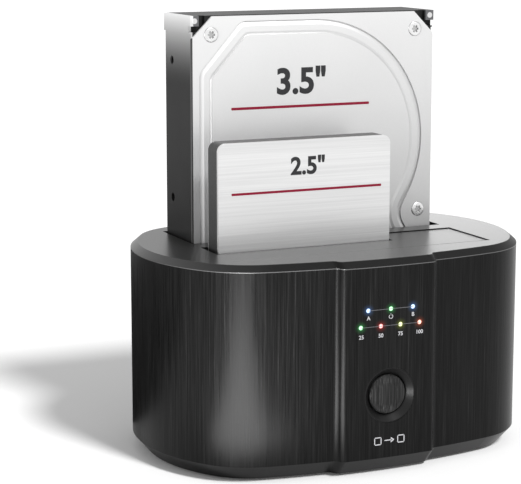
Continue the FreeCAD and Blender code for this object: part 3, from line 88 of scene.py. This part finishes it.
class Signal:
    """A node's output, with the tree that it belongs to."""

    def __init__(self, tree, socket=None):
        self.tree = tree
        self.socket = socket

    def make(self, kind, settings=None, inputs=None, output=0):
        node = self.tree.nodes.new(kind)
        for name, value in (settings or {}).items():
            if name == "stops":
                ramp = node.color_ramp
                while len(ramp.elements) < len(value):
                    ramp.elements.new(0.5)
                for element, (position, colour) in zip(ramp.elements, value):
                    element.position = position
                    element.color = colour
            else:
                setattr(node, name, value)
        for name, value in (inputs or {}).items():
            if isinstance(value, Signal):
                self.tree.links.new(value.socket, node.inputs[name])
            else:
                node.inputs[name].default_value = value
        return Signal(self.tree, node.outputs[output])

    def maths(self, operation, first, second=0.0, clamp=False):
        return self.make("ShaderNodeMath", {"operation": operation, "use_clamp": clamp},
                         {0: first, 1: second})

    def __add__(self, other):
        return self.maths("ADD", self, other)

    def __radd__(self, other):
        return self.maths("ADD", other, self)

    def __sub__(self, other):
        return self.maths("SUBTRACT", self, other)

    def __rsub__(self, other):
        return self.maths("SUBTRACT", other, self)

    def __mul__(self, other):
        return self.maths("MULTIPLY", self, other)

    def __rmul__(self, other):
        return self.maths("MULTIPLY", other, self)

    def __truediv__(self, other):
        return self.maths("DIVIDE", self, other)

    def __gt__(self, other):
        return self.maths("GREATER_THAN", self, other)

    def __lt__(self, other):
        return self.maths("LESS_THAN", self, other)

    def clamped(self):
        return self.maths("ADD", self, 0.0, clamp=True)

    def power(self, exponent):
        return self.maths("POWER", self, exponent)

    def axis(self, letter):
        return self.make("ShaderNodeSeparateXYZ", None, {0: self}, "XYZ".index(letter))

    def away_from(self, point):
        """The distance in metres of these coordinates from a point."""
        return self.make("ShaderNodeVectorMath", {"operation": "DISTANCE"},
                         {0: self, 1: tuple(point)}, 1)

    def noise(self, scale, detail=2.0, roughness=0.5, stretch=(1.0, 1.0, 1.0)):
        """Noise of about 0 to 1 on these coordinates; scale is cells per metre along each axis."""
        moved = self.make("ShaderNodeMapping", None,
                          {"Vector": self, "Scale": tuple(scale * k for k in stretch)})
        return self.make("ShaderNodeTexNoise", None,
                         {"Vector": moved, "Scale": 1.0, "Detail": detail, "Roughness": roughness})

    def ramp(self, *stops):
        """A colour that follows the signal; each stop is a position and a grey or a colour."""
        colours = []
        for position, colour in stops:
            colour = (colour,) * 3 if isinstance(colour, float) else colour
            colours.append((position, (*colour, 1.0)))
        return self.make("ShaderNodeValToRGB", {"stops": colours}, {"Fac": self})

    def blend_colours(self, first, second):
        """The first colour where the signal is 0, the second where it is 1."""
        ends = {COLOUR_A: first, COLOUR_B: second}
        ends = {key: (*value, 1.0) if isinstance(value, tuple) else value
                for key, value in ends.items()}
        return self.make("ShaderNodeMix", {"data_type": "RGBA"}, {0: self, **ends}, COLOUR_OUT)

    def bump(self, strength, distance):
        return self.make("ShaderNodeBump", None,
                         {"Height": self, "Strength": strength, "Distance": distance})


def finish_for(name):
    """A new material: its object coordinates as a Signal, and a call that sets its surface."""
    material = bpy.data.materials.new(name)
    material.use_nodes = True
    tree = material.node_tree
    surface = tree.nodes["Principled BSDF"]
    where = Signal(tree).make("ShaderNodeTexCoord", None, None, "Object")

    def coat(**inputs):
        for key, value in inputs.items():
            socket = surface.inputs[key.replace("_", " ")]
            if isinstance(value, Signal):
                tree.links.new(value.socket, socket)
            else:
                socket.default_value = (*value, 1.0) if isinstance(value, tuple) else value
        return material

    return where, coat


def clear_selection():
    bpy.ops.object.select_all(action="DESELECT")


clear_selection()
bpy.ops.mesh.primitive_plane_add(size=16.0, location=(0.0, 0.0, cad_low[2]))
floor = bpy.context.object
floor.name = "floor"
floor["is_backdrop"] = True
where, coat = finish_for("floor_paper")
fibre = where.noise(900.0, 2.0)
seen = where.make("ShaderNodeLightPath", None, None, "Is Camera Ray")
floor.data.materials.append(coat(Base_Color=fibre.ramp((0.3, 0.93), (0.7, 0.95)), Roughness=0.9,
                                 Specular_IOR_Level=0.0, Emission_Strength=0.06,
                                 Emission_Color=seen.ramp((0.0, 0.0), (1.0, 1.0))))


# ---- Light --------------------------------------------------------------------------------------
# A soft key from the right front throws the shadow to the left and back, and a white room fills it.
# Three panels each light only the pieces they are for, and a dark card behind the object on the
# left shows only in gloss.
world = bpy.data.worlds.new("studio")
bpy.context.scene.world = world
world.use_nodes = True
sky = Signal(world.node_tree)
seen = sky.make("ShaderNodeLightPath", None, None, "Is Camera Ray")
seen = seen + sky.make("ShaderNodeLightPath", None, None, "Is Glossy Ray")
seen = (seen + sky.make("ShaderNodeLightPath", None, None, "Is Transmission Ray")).clamped()
strength = seen * 0.5 + 0.5
background = world.node_tree.nodes["Background"]
background.inputs["Color"].default_value = (1.0, 1.0, 1.0, 1.0)
world.node_tree.links.new(strength.socket, background.inputs["Strength"])


KEY_AZIMUTH = math.radians(16.0)  # from the front towards the right
KEY_ELEVATION = math.radians(48.0)
sun = bpy.data.lights.new("key", "SUN")
sun.angle = math.radians(11.0)
sun.energy = 2.8
key = bpy.data.objects.new("key", sun)
bpy.context.scene.collection.objects.link(key)
towards_sun = Vector((math.sin(KEY_AZIMUTH) * math.cos(KEY_ELEVATION),
                      -math.cos(KEY_AZIMUTH) * math.cos(KEY_ELEVATION), math.sin(KEY_ELEVATION)))
key.rotation_euler = towards_sun.to_track_quat("Z", "Y").to_euler()


def facing(place, aim):
    """The turn of a panel that stands at one point and faces another."""
    return (Vector(place) - Vector(aim)).to_track_quat("Z", "Y").to_euler()


def panel_light(name, place, turn, wide, long, power, nodes):
    """A panel that the camera doesn't see and that lights only the named nodes.

    Its place is in millimetres, its width and length in metres and its power in watts.
    """
    light = bpy.data.lights.new(name, "AREA")
    light.shape = "RECTANGLE"
    light.size, light.size_y = wide, long
    light.energy = power
    holder = bpy.data.objects.new(name, light)
    bpy.context.scene.collection.objects.link(holder)
    holder.location = Vector(place) * MM
    holder.rotation_euler = turn
    holder.visible_camera = False
    lit = bpy.data.collections.new(name + "_lit")
    for node in nodes:
        lit.objects.link(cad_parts[node])
    holder.light_linking.receiver_collection = lit


RIM_PLACE = (150.0, 200.0, 115.0)
SIDE_PLACE = (-620.0, -150.0, 170.0)
panel_light("strip_left", place=(-149.0, -186.0, 2.0), turn=(math.pi, 0.0, math.radians(-33.0)),
            wide=0.1, long=0.28, power=1.35,
            nodes=("outer_shell", "base_tray", "clone_button", "button_dish"))
panel_light("rim_right", place=RIM_PLACE, turn=facing(RIM_PLACE, (65.0, 15.0, 79.0)),
            wide=0.12, long=0.09, power=0.06, nodes=("top_cover", "front_flap"))
panel_light("side_left", place=SIDE_PLACE, turn=facing(SIDE_PLACE, (-20.0, 8.0, 110.0)),
            wide=0.3, long=0.3, power=6.0, nodes=("hdd_cover",))

clear_selection()
bpy.ops.mesh.primitive_plane_add(size=0.44, location=(-0.20, 0.27, cad_low[2] + 0.6 * MM))
card = bpy.context.object
card.name = "dark_card"
card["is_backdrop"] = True
where, coat = finish_for("card_black")
fibre = where.noise(900.0, 2.0)
card.data.materials.append(coat(Base_Color=fibre.ramp((0.3, 0.02), (0.7, 0.03)), Roughness=0.9,
                                Specular_IOR_Level=0.0))
card.visible_camera = False
card.visible_diffuse = False
card.visible_shadow = False
card.visible_transmission = False


# ---- Outer shell --------------------------------------------------------------------------------
# The shell is one oval tube of black plastic with a raised control panel. It is brushed upright all
# round and lacquered, and round each lit lens a painted halo of its light glows on the lacquer.
LIGHT_COLOURS = {
    "lens_drive_a": (0.2, 0.45, 1.0),
    "lens_power": (0.1, 0.8, 0.2),
    "lens_drive_b": (0.2, 0.45, 1.0),
    "lens_25": (0.1, 0.8, 0.2),
    "lens_50": (1.0, 0.08, 0.06),
    "lens_75": (0.5, 0.6, 0.06),
    "lens_100": (1.0, 0.2, 0.06),
}
HALO_RADIUS = 3.0
RIM_HIGHLIGHT_DEPTH = 0.28


def dress(material, *nodes):
    """Gives CAD nodes their finish."""
    for node in nodes:
        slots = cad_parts[node].data.materials
        slots.clear()
        slots.append(material)


def brushed_black(name, edge, glow=False, level=1.0):
    """Brushed plastic; above the height edge a bright line is painted on as a highlight."""
    where, coat = finish_for(name)
    hair = where.noise(3800.0, 3.0, 0.7, (1.0, 1.0, 0.01))
    scratch = where.noise(2000.0, 2.0, 0.6, (1.0, 1.0, 0.015))
    cloud = where.noise(70.0, 2.0, 0.5, (1.0, 1.0, 0.3))
    grain = ((hair * 0.6 + scratch * 0.4 - 0.5) * 2.6 + 0.42 + (cloud - 0.5) * 0.3).clamped()
    painted_halos = {}
    # Painted light: round each lens a halo of its colour is painted on as emission.
    if glow:
        light = None
        for node, colour in LIGHT_COLOURS.items():
            low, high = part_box(node)
            spot = ((low[0] + high[0]) / 2, low[1], (low[2] + high[2]) / 2)
            near = (1.0 - where.away_from(spot) / (HALO_RADIUS * MM)).clamped().power(2.4)
            part = near.blend_colours((0.0, 0.0, 0.0), colour)
            light = part if light is None else where.make(
                "ShaderNodeMix", {"data_type": "RGBA", "blend_type": "ADD"},
                {0: 1.0, COLOUR_A: light, COLOUR_B: part}, COLOUR_OUT)
        painted_halos = {"Emission_Color": light, "Emission_Strength": 0.3}
    # Painted highlight: above the edge a bright metallic line runs along the rim's top.
    painted_rim_highlight = where.axis("Z") > edge
    brushed = grain.ramp((0.0, 0.001 * level), (0.4, 0.003 * level), (0.75, 0.009 * level),
                         (1.0, 0.032 * level))
    return coat(Base_Color=painted_rim_highlight.blend_colours(brushed, (0.13, 0.13, 0.13)), Metallic=painted_rim_highlight * 0.7,
                Roughness=0.25 + grain * 0.14, Specular_IOR_Level=0.13,
                Normal=grain.bump(0.45, 0.00003), **painted_halos)


shell_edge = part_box("outer_shell")[1][2] - RIM_HIGHLIGHT_DEPTH * MM
dress(brushed_black("brushed_shell", shell_edge, glow=True), "outer_shell")


# ---- Lid, base, flaps and wells -----------------------------------------------------------------
# The lid, the tapered base and the two spring flaps are injection moulded in black plastic with a
# fine spark-eroded texture. The wells and sockets inside are the same plastic left matt.
CHAMFER_EDGE = 0.12
SHADE_FROM, SHADE_OVER = -72.0, 30.0  # where the painted shade on the lid's chamfer starts, and over what length


def moulded_black(name, level, roughness, gloss, rim=None):
    """Spark-eroded plastic; below the height rim, where given, painted shade darkens it."""
    where, coat = finish_for(name)
    pores = where.noise(2600.0, 2.0, 0.6)
    cloud = where.noise(45.0, 2.0, 0.5)
    black = (pores * 0.3 + cloud * 0.7).ramp((0.25, 0.75 * level), (0.75, 1.25 * level))
    material = coat(Base_Color=black, Roughness=roughness + pores * 0.06, Specular_IOR_Level=gloss,
                    Normal=pores.bump(0.06, 0.00001))
    if rim is not None:
        tree = material.node_tree
        # Painted shade: the chamfer turns darker and less glossy, fading in from its left end.
        painted_shade_finish = where.make("ShaderNodeBsdfPrincipled", None,
                          {"Base Color": pores.ramp((0.3, 0.004), (0.7, 0.008)), "Roughness": 0.42,
                           "Specular IOR Level": 0.12})
        glossy = Signal(tree, tree.nodes["Principled BSDF"].outputs[0])
        front = ((where.axis("X") - SHADE_FROM * MM) / (SHADE_OVER * MM)).clamped()
        both = where.make("ShaderNodeMixShader", None,
                          {0: (where.axis("Z") < rim) * front, 1: glossy, 2: painted_shade_finish})
        tree.links.new(both.socket, tree.nodes["Material Output"].inputs["Surface"])
    return material


lid_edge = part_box("top_cover")[1][2] - CHAMFER_EDGE * MM
dress(moulded_black("lid_plastic", 0.012, 0.28, 0.5, lid_edge), "top_cover")
dress(moulded_black("flap_plastic", 0.012, 0.28, 0.5), "front_flap", "rear_flap")
dress(moulded_black("base_plastic", 0.006, 0.26, 0.16), "base_tray")
dress(moulded_black("well_plastic", 0.008, 0.45, 0.3), "front_bay_liner", "rear_bay_liner",
      "rear_drive_socket", "front_drive_socket", "power_jack", "rocker_frame", "hdd_connector",
      "ssd_connector")
dress(moulded_black("rocker_plastic", 0.012, 0.12, 0.5), "power_rocker")
dress(moulded_black("foot_rubber", 0.015, 0.6, 0.2), "rubber_feet")


# ---- Lenses -------------------------------------------------------------------------------------
# Seven clear light pipes end flush in the panel. Each is lit from behind by its diode, nearly white
# in the middle and coloured towards the rim.
LENS_RADIUS = 0.85
for node, colour in LIGHT_COLOURS.items():
    where, coat = finish_for(node + "_lit")
    low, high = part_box(node)
    middle = ((low[0] + high[0]) / 2, low[1], (low[2] + high[2]) / 2)
    rim = (where.away_from(middle) / (LENS_RADIUS * MM)).clamped().power(2.0)
    pale = tuple(0.6 + 0.4 * channel for channel in colour)
    glow = rim.blend_colours(pale, tuple(0.15 + 0.85 * channel for channel in colour))
    dress(coat(Base_Color=glow, Emission_Color=glow, Emission_Strength=0.75, Roughness=0.15), node)


# ---- Button -------------------------------------------------------------------------------------
# The push button is a round cap of the same brushed plastic, with a bevelled rim. It sits in a
# polished dish pressed into the panel.
dress(brushed_black("button_cap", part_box("clone_button")[1][2], level=4.0), "clone_button")
dress(moulded_black("dish_gloss", 0.005, 0.3, 0.2), "button_dish")


# ---- Panel print --------------------------------------------------------------------------------
# Pale grey pad printing on the panel: a line through each row of lights, plain marks for the two
# drives and the power, the four quarters of a copy, and two sheets joined by an arrow.
PRINT_THICK = 0.04
UPPER_LINE_Z, UPPER_MARKS_Z, POWER_SIGN_Z = 61.3, 58.6, 58.5
LOWER_LINE_Z, LOWER_MARKS_Z = 55.3, 51.9
DRIVE_MARK_X, LOWER_PITCH = 9.0, 7.9
SHEETS_Z, SHEET_X, SHEET_HALF, SHEET_LINE = 12.9, 4.7, 1.3, 0.34


def settle(name, body, material):
    """Fixes the active piece's place in its mesh, and gives it its name, finish, body and slot."""
    piece = bpy.context.object
    if piece.mode != "OBJECT":
        bpy.ops.object.mode_set(mode="OBJECT")
    bpy.ops.object.transform_apply(location=True, rotation=True, scale=True)
    piece.name = name
    piece.data.name = name
    piece.data.materials.clear()
    piece.data.materials.append(material)
    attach(piece, body)
    return piece


def lettering(body, cap, middle_x, middle_z, face_y, weight):
    """Flat figures on a face that looks to the front; all in millimetres but face_y, in metres."""
    clear_selection()
    bpy.ops.object.text_add()
    text = bpy.context.object
    text.data.body = body
    text.data.offset = weight
    text.data.resolution_u = 6
    text.data.extrude = 0.5
    bpy.ops.object.convert(target="MESH")
    text = bpy.context.object
    corners = [vertex.co for vertex in text.data.vertices]
    low = [min(corner[axis] for corner in corners) for axis in range(3)]
    high = [max(corner[axis] for corner in corners) for axis in range(3)]
    size = cap * MM / (high[1] - low[1])
    centre = Matrix.Translation((-(low[0] + high[0]) / 2, -(low[1] + high[1]) / 2, 0.0))
    flatten = Matrix.Diagonal((size, size, PRINT_THICK * MM, 1.0))
    stand = Matrix.Rotation(math.radians(90.0), 4, "X")
    place = Matrix.Translation((middle_x * MM, face_y - PRINT_THICK * MM / 2, middle_z * MM))
    text.data.transform(place @ stand @ flatten @ centre)
    return text


def bar(middle_x, middle_z, wide, high, face_y, round_by=0.3):
    """A flat printed bar with rounded ends; round_by is a share of its height, units as above."""
    clear_selection()
    middle = (middle_x * MM, face_y - PRINT_THICK * MM / 2, middle_z * MM)
    bpy.ops.mesh.primitive_cube_add(size=1.0, location=middle,
                                    scale=(wide * MM, PRINT_THICK * MM, high * MM))
    bpy.ops.object.transform_apply(location=False, rotation=False, scale=True)
    bpy.ops.object.mode_set(mode="EDIT")
    bpy.ops.mesh.select_mode(type="EDGE")
    bpy.ops.mesh.select_all(action="DESELECT")
    shape = bmesh.from_edit_mesh(bpy.context.object.data)
    for edge in shape.edges:
        along = edge.verts[0].co - edge.verts[1].co
        edge.select_set(abs(along.y) > 0.5 * PRINT_THICK * MM)
    bmesh.update_edit_mesh(bpy.context.object.data)
    bpy.ops.mesh.bevel(offset=round_by * high * MM, segments=3, affect="EDGES")
    bpy.ops.object.mode_set(mode="OBJECT")
    return bpy.context.object


def join_as_one(pieces):
    clear_selection()
    for piece in pieces:
        piece.select_set(True)
    bpy.context.view_layer.objects.active = pieces[0]
    bpy.ops.object.join()


def print_ink(name, colour):
    where, coat = finish_for(name)
    speck = where.noise(3000.0, 2.0)
    darker = tuple(0.8 * channel for channel in colour)
    return coat(Base_Color=speck.ramp((0.3, darker), (0.6, colour)), Roughness=0.55,
                Specular_IOR_Level=0.2, Normal=speck.bump(0.05, 0.00001))


panel_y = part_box("outer_shell")[0][1] + PRINT_THICK * MM
pale_ink = print_ink("pale_ink", (0.62, 0.62, 0.64))
grey_ink = print_ink("grey_ink", (0.16, 0.16, 0.17))

join_as_one([bar(0.0, UPPER_LINE_Z, 2 * DRIVE_MARK_X, 0.18, panel_y),
             bar(0.0, LOWER_LINE_Z, 3 * LOWER_PITCH, 0.18, panel_y)])
settle("panel_lines", "dock", grey_ink)

marks = []
for body, x, z in (("A", -DRIVE_MARK_X, UPPER_MARKS_Z), ("B", DRIVE_MARK_X, UPPER_MARKS_Z),
                   ("25", -1.5 * LOWER_PITCH, LOWER_MARKS_Z),
                   ("50", -0.5 * LOWER_PITCH, LOWER_MARKS_Z),
                   ("75", 0.5 * LOWER_PITCH, LOWER_MARKS_Z),
                   ("100", 1.5 * LOWER_PITCH, LOWER_MARKS_Z)):
    marks.append(lettering(body, 1.45, x, z, panel_y, weight=0.015))
clear_selection()
bpy.ops.mesh.primitive_circle_add(vertices=28, radius=0.85 * MM, fill_type="NOTHING",
                                  location=(0.0, panel_y, POWER_SIGN_Z * MM),
                                  rotation=(math.pi / 2, 0.0, 0.0))
bpy.ops.object.mode_set(mode="EDIT")
bpy.ops.mesh.select_all(action="DESELECT")
shape = bmesh.from_edit_mesh(bpy.context.object.data)
for vertex in shape.verts:
    vertex.select_set(vertex.co.y > 0.7 * MM)
bmesh.update_edit_mesh(bpy.context.object.data)
bpy.ops.mesh.delete(type="VERT")
bpy.ops.mesh.select_all(action="SELECT")
bpy.ops.mesh.extrude_edges_move()
bpy.ops.transform.resize(value=(0.74, 0.74, 0.74),
                         center_override=(0.0, panel_y, POWER_SIGN_Z * MM))
bpy.ops.mesh.select_all(action="SELECT")
bpy.ops.mesh.extrude_region_move(TRANSFORM_OT_translate={"value": (0.0, -PRINT_THICK * MM, 0.0)})
bpy.ops.mesh.select_all(action="SELECT")
bpy.ops.mesh.normals_make_consistent(inside=False)
bpy.ops.object.mode_set(mode="OBJECT")
bpy.ops.object.transform_apply(location=True, rotation=True, scale=True)
marks.append(bpy.context.object)
marks.append(bar(0.0, 59.2, 0.24, 0.9, panel_y, round_by=0.1))
join_as_one(marks)
settle("panel_marks", "dock", pale_ink)

sheets = []
sheet_side = 2 * SHEET_HALF + SHEET_LINE
for x in (-SHEET_X, SHEET_X):
    for side in (-SHEET_HALF, SHEET_HALF):
        sheets.append(bar(x + side, SHEETS_Z, SHEET_LINE, sheet_side, panel_y, round_by=0.03))
        sheets.append(bar(x, SHEETS_Z + side, sheet_side, SHEET_LINE, panel_y))
sheets.append(bar(-0.4, SHEETS_Z, 3.2, SHEET_LINE, panel_y))
for step in range(4):
    sheets.append(bar(0.7 + 0.32 * step, SHEETS_Z, SHEET_LINE, 2.0 - 0.5 * step, panel_y,
                      round_by=0.1))
join_as_one(sheets)
settle("panel_sheets", "dock", pale_ink)


# ---- Fasteners, springs and ports ---------------------------------------------------------------
# Zinc-plated steel screws and spring strips, the tinned shell of the USB socket, and the drawn
# aluminium cans of the capacitors.
def plated(name, shade, roughness=0.3):
    where, coat = finish_for(name)
    smear = where.noise(400.0, 3.0, 0.6)
    return coat(Base_Color=smear.ramp((0.3, 0.85 * shade), (0.7, shade)), Metallic=1.0,
                Roughness=roughness + smear * 0.15, Normal=smear.bump(0.08, 0.00002))


dress(plated("zinc_plate", 0.6), "base_screws", "board_screws", "panel_board_screws",
      "flap_springs", "usb_socket", "board_capacitors")


# ---- Circuit boards and chips -------------------------------------------------------------------
# Green solder mask over copper traces on glass cloth, and black moulded packages.
def solder_mask(name):
    where, coat = finish_for(name)
    weave = where.noise(900.0, 2.0, 0.5)
    traces = where.noise(120.0, 0.0, 0.5, (0.25, 1.0, 1.0))
    return coat(Base_Color=(weave * 0.3 + traces * 0.7).ramp((0.3, (0.006, 0.06, 0.028)),
                                                             (0.7, (0.012, 0.12, 0.055))),
                Roughness=0.35, Normal=traces.bump(0.05, 0.00003))


dress(solder_mask("solder_mask"), "main_board", "panel_board", "hdd_circuit_board", "ssd_board")
dress(moulded_black("package_black", 0.015, 0.4, 0.4), "bridge_chips", "button_switch",
      "ssd_memory_chips", "indicator_diodes")


# ---- 3.5-inch drive: casting --------------------------------------------------------------------
# The body is an aluminium casting in a dark coat, a little rough from the die, with its drilled
# mounting holes left plain. Its ears fill the corners beside the cover, and its left face carries a
# painted reflection that grows bright towards the top.
REFLECTION_DEPTH = 27.0
EAR_HEIGHT = 4.2
PIN_INSET, PIN_DROP, PIN_RADIUS = 1.7, 1.9, 1.05
where, coat = finish_for("dark_casting")
sand = where.noise(1500.0, 3.0, 0.6)
flow = where.noise(60.0, 2.0, 0.5)
low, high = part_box("hdd_casting")
# Painted reflection: the left face turns pale and metallic towards its top.
reflection_from = high[2] - REFLECTION_DEPTH * MM
painted_reflection = ((where.axis("Z") - reflection_from) / (REFLECTION_DEPTH * MM)).clamped().power(2.2)
painted_reflection = painted_reflection * (where.axis("X") < low[0] + 1.2 * MM)
shade = (sand * 0.5 + flow * 0.5).ramp((0.3, 0.016), (0.7, 0.026))
ear = (where.axis("Y") < low[1] + 1.0 * MM) * (where.axis("Z") > high[2] - EAR_HEIGHT * MM)
shade = ear.blend_colours(shade, (0.13, 0.13, 0.135))
for x in (low[0] + PIN_INSET * MM, high[0] - PIN_INSET * MM):
    pin = where.away_from((x, low[1], high[2] - PIN_DROP * MM)) < PIN_RADIUS * MM
    shade = pin.blend_colours(shade, (0.6, 0.6, 0.6))
dress(coat(Base_Color=painted_reflection.blend_colours(shade, (0.9, 0.9, 0.9)), Metallic=painted_reflection * 0.9,
           Roughness=0.34 + sand * 0.1, Specular_IOR_Level=0.06, Normal=sand.bump(0.2, 0.00002)),
      "hdd_casting")


# ---- 3.5-inch drive: cover ----------------------------------------------------------------------
# A pressed aluminium sheet, satin blasted, with a raised band pressed round the discs. Six-lobed
# screws with domed heads hold it down.
WALL_EDGE = 0.6 * MM  # how far the painted shade of the left wall reaches onto the face
where, coat = finish_for("satin_cover")
low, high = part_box("hdd_cover")
blast = where.noise(2400.0, 2.0, 0.5)
wipe = where.noise(30.0, 2.0, 0.5)
# Painted light: the face grows lighter towards its top.
height = ((where.axis("Z") - low[2]) / (high[2] - low[2])).clamped().power(3.0)
# Painted shade: the cover's left wall and the face's edge beside it are darkened.
painted_wall_shade = ((low[0] + WALL_EDGE - where.axis("X")) / WALL_EDGE).clamped()
tone = 0.5 + (blast * 0.4 + wipe * 0.6 - 0.5) * 0.1 + height * 0.18 - painted_wall_shade * 2.2
dress(coat(Base_Color=tone.clamped().ramp((0.0, 0.04), (1.0, 0.98)), Metallic=0.6,
           Roughness=0.36 + blast * 0.04, Normal=blast.bump(0.05, 0.00001)), "hdd_cover")

def select_where(kind, test):
    """In edit mode, selects only the vertices, edges or faces whose middle passes the test."""
    bpy.ops.mesh.select_mode(type=kind)
    bpy.ops.mesh.select_all(action="DESELECT")
    shape = bmesh.from_edit_mesh(bpy.context.object.data)
    for part in {"VERT": shape.verts, "EDGE": shape.edges, "FACE": shape.faces}[kind]:
        if kind == "FACE":
            middle = part.calc_center_median()
        elif kind == "EDGE":
            middle = (part.verts[0].co + part.verts[1].co) / 2
        else:
            middle = part.co
        part.select_set(test(middle))
    bmesh.update_edit_mesh(bpy.context.object.data)


SCREW_RADIUS = 2.75
SCREW_PLACES = ((-43.8, 156.0), (41.4, 156.0), (43.8, 85.6), (-45.5, 22.5), (43.1, 22.5))
SOCKET_RADIUS = 1.45
first_x, first_z = SCREW_PLACES[0]
low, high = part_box("hdd_cover_screws")
head = high[1] - low[1]


def on_front(middle):
    """In the screw's own axes, whether a point is on the face of its head."""
    return middle.z > head / 2 - 0.02 * MM


clear_selection()
bpy.ops.mesh.primitive_cylinder_add(vertices=48, radius=SCREW_RADIUS * MM, depth=head,
                                    location=(first_x * MM, (low[1] + high[1]) / 2, first_z * MM),
                                    rotation=(math.pi / 2, 0.0, 0.0))
bpy.ops.object.mode_set(mode="EDIT")
select_where("FACE", lambda middle: on_front(middle) and middle.xy.length < 0.1 * MM)
bpy.ops.mesh.inset(thickness=(SCREW_RADIUS - SOCKET_RADIUS) * MM)
select_where("VERT", lambda middle: on_front(middle)
             and middle.xy.length < 1.2 * SOCKET_RADIUS * MM
             and math.cos(6.0 * math.atan2(middle.y, middle.x)) < -0.2)
bpy.ops.transform.resize(value=(0.7, 0.7, 0.7),
                         center_override=(first_x * MM, low[1], first_z * MM))
select_where("FACE", lambda middle: on_front(middle) and middle.xy.length < 0.1 * MM)
bpy.ops.mesh.extrude_region_move(TRANSFORM_OT_translate={"value": (0.0, 0.75 * head, 0.0)})
select_where("EDGE", lambda middle: on_front(middle)
             and middle.xy.length > 0.95 * SCREW_RADIUS * MM)
bpy.ops.mesh.bevel(offset=0.45 * MM, segments=4, affect="EDGES")
bpy.ops.object.mode_set(mode="OBJECT")
bpy.ops.object.shade_smooth_by_angle(angle=math.radians(28.0))
where, coat = finish_for("bright_plate")
smear = where.noise(400.0, 3.0, 0.6)
# Painted shade: the sunk socket in each head is darkened.
painted_socket_shade = where.axis("Y") > low[1] + 0.3 * head
tone = (0.72 + smear * 0.2 - painted_socket_shade * 0.35).clamped()
bright_plate = coat(Base_Color=tone.ramp((0.0, 0.03), (1.0, 0.98)), Metallic=0.9,
                    Roughness=0.2 + smear * 0.1, Normal=smear.bump(0.05, 0.00001))
first = settle("hdd_lobed_screw_1", "hard_drive", bright_plate)
screws = [first]
for number, (x, z) in enumerate(SCREW_PLACES[1:], start=2):
    screw = first.copy()
    screw.data = first.data.copy()
    screw.name = screw.data.name = "hdd_lobed_screw_%d" % number
    screw.data.transform(Matrix.Translation(((x - first_x) * MM, 0.0, (z - first_z) * MM)))
    bpy.context.scene.collection.objects.link(screw)
    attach(screw, "hard_drive")
    screws.append(screw)
for screw in screws:
    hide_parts("hdd_cover_screws")


# ---- 3.5-inch drive: board parts ----------------------------------------------------------------
# Five black moulded chips of different sizes, soldered flat on the back of the drive's board. Each
# has a bevelled rim round its top.
CHIPS = (  # x and z of the middle, width, height and thickness
    (12.0, 62.0, 17.0, 17.0, 0.9),
    (-14.0, 52.0, 13.0, 9.0, 0.8),
    (-12.0, 78.0, 9.0, 9.0, 0.8),
    (30.0, 46.0, 6.0, 5.0, 0.9),
    (33.0, 82.0, 7.0, 4.5, 0.8),
)
board_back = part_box("hdd_circuit_board")[1][1]
chip_black = moulded_black("chip_black", 0.018, 0.4, 0.4)
for number, (x, z, wide, tall, proud) in enumerate(CHIPS, start=1):
    clear_selection()
    bpy.ops.mesh.primitive_cube_add(size=1.0,
                                    location=(x * MM, board_back + proud * MM / 2, z * MM),
                                    scale=(wide * MM, proud * MM, tall * MM))
    bpy.ops.object.transform_apply(location=False, rotation=False, scale=True)
    bpy.ops.object.mode_set(mode="EDIT")
    select_where("FACE", lambda middle: middle.y > 0.45 * proud * MM)
    bpy.ops.mesh.inset(thickness=0.16 * MM, depth=0.0)
    bpy.ops.transform.translate(value=(0.0, 0.12 * MM, 0.0))
    bpy.ops.mesh.select_all(action="DESELECT")
    select_where("EDGE", lambda middle: middle.y > 0.5 * proud * MM)
    bpy.ops.mesh.bevel(offset=0.1 * MM, segments=2, affect="EDGES")
    settle("hdd_board_chip_%d" % number, "hard_drive", chip_black)


# ---- Drive print --------------------------------------------------------------------------------
# Each drive's face carries its size in plain dark figures over a crimson rule. The figures and the
# rule share one middle line.
HDD_PRINT_X, SSD_PRINT_X = -7.0, -15.3
dark_ink = print_ink("dark_ink", (0.03, 0.03, 0.032))
crimson_ink = print_ink("crimson_ink", (0.25, 0.006, 0.03))
cover_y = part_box("hdd_cover")[0][1]
lettering('3.5"', 10.5, HDD_PRINT_X, 138.0, cover_y, weight=0.03)
settle("hdd_size_figures", "hard_drive", dark_ink)
bar(HDD_PRINT_X, 128.3, wide=57.6, high=1.0, face_y=cover_y)
settle("hdd_rule", "hard_drive", crimson_ink)
plate_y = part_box("ssd_cover")[0][1]
lettering('2.5"', 7.0, SSD_PRINT_X, 109.2, plate_y, weight=0.03)
settle("ssd_size_figures", "small_drive", dark_ink)
bar(SSD_PRINT_X, 100.0, wide=61.0, high=0.9, face_y=plate_y)
settle("ssd_rule", "small_drive", crimson_ink)


# ---- 2.5-inch drive -----------------------------------------------------------------------------
# A shallow case anodised dark grey, closed by a face plate that is brushed from side to side. Its
# back is painted pale, as painted light in the shaded gap before the bigger drive.
PAINTED_BACK_SKIN = 0.3
where, coat = finish_for("brushed_plate")
lines = where.noise(1800.0, 3.0, 0.6, (0.01, 1.0, 1.0))
broad = where.noise(140.0, 2.0, 0.5, (0.02, 1.0, 1.0))
rub = lines * 0.6 + broad * 0.4
dress(coat(Base_Color=rub.ramp((0.3, 0.66), (0.7, 0.82)), Metallic=1.0,
           Roughness=0.3 + lines * 0.12, Normal=lines.bump(0.12, 0.00002)), "ssd_cover")
where, coat = finish_for("anodised_grey")
sand = where.noise(1500.0, 2.0, 0.5)
# Painted light: the back of the case is made pale so the gap before the bigger drive looks lit.
painted_light_back = where.axis("Y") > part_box("ssd_case")[1][1] - PAINTED_BACK_SKIN * MM
grey = sand.ramp((0.3, 0.04), (0.7, 0.06))
dress(coat(Base_Color=painted_light_back.blend_colours(grey, (0.7, 0.7, 0.71)), Metallic=0.8, Roughness=0.4,
           Normal=sand.bump(0.1, 0.00002)), "ssd_case")


# ---- Finish -------------------------------------------------------------------------------------
# The finished model's box is found, in metres.
low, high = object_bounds()
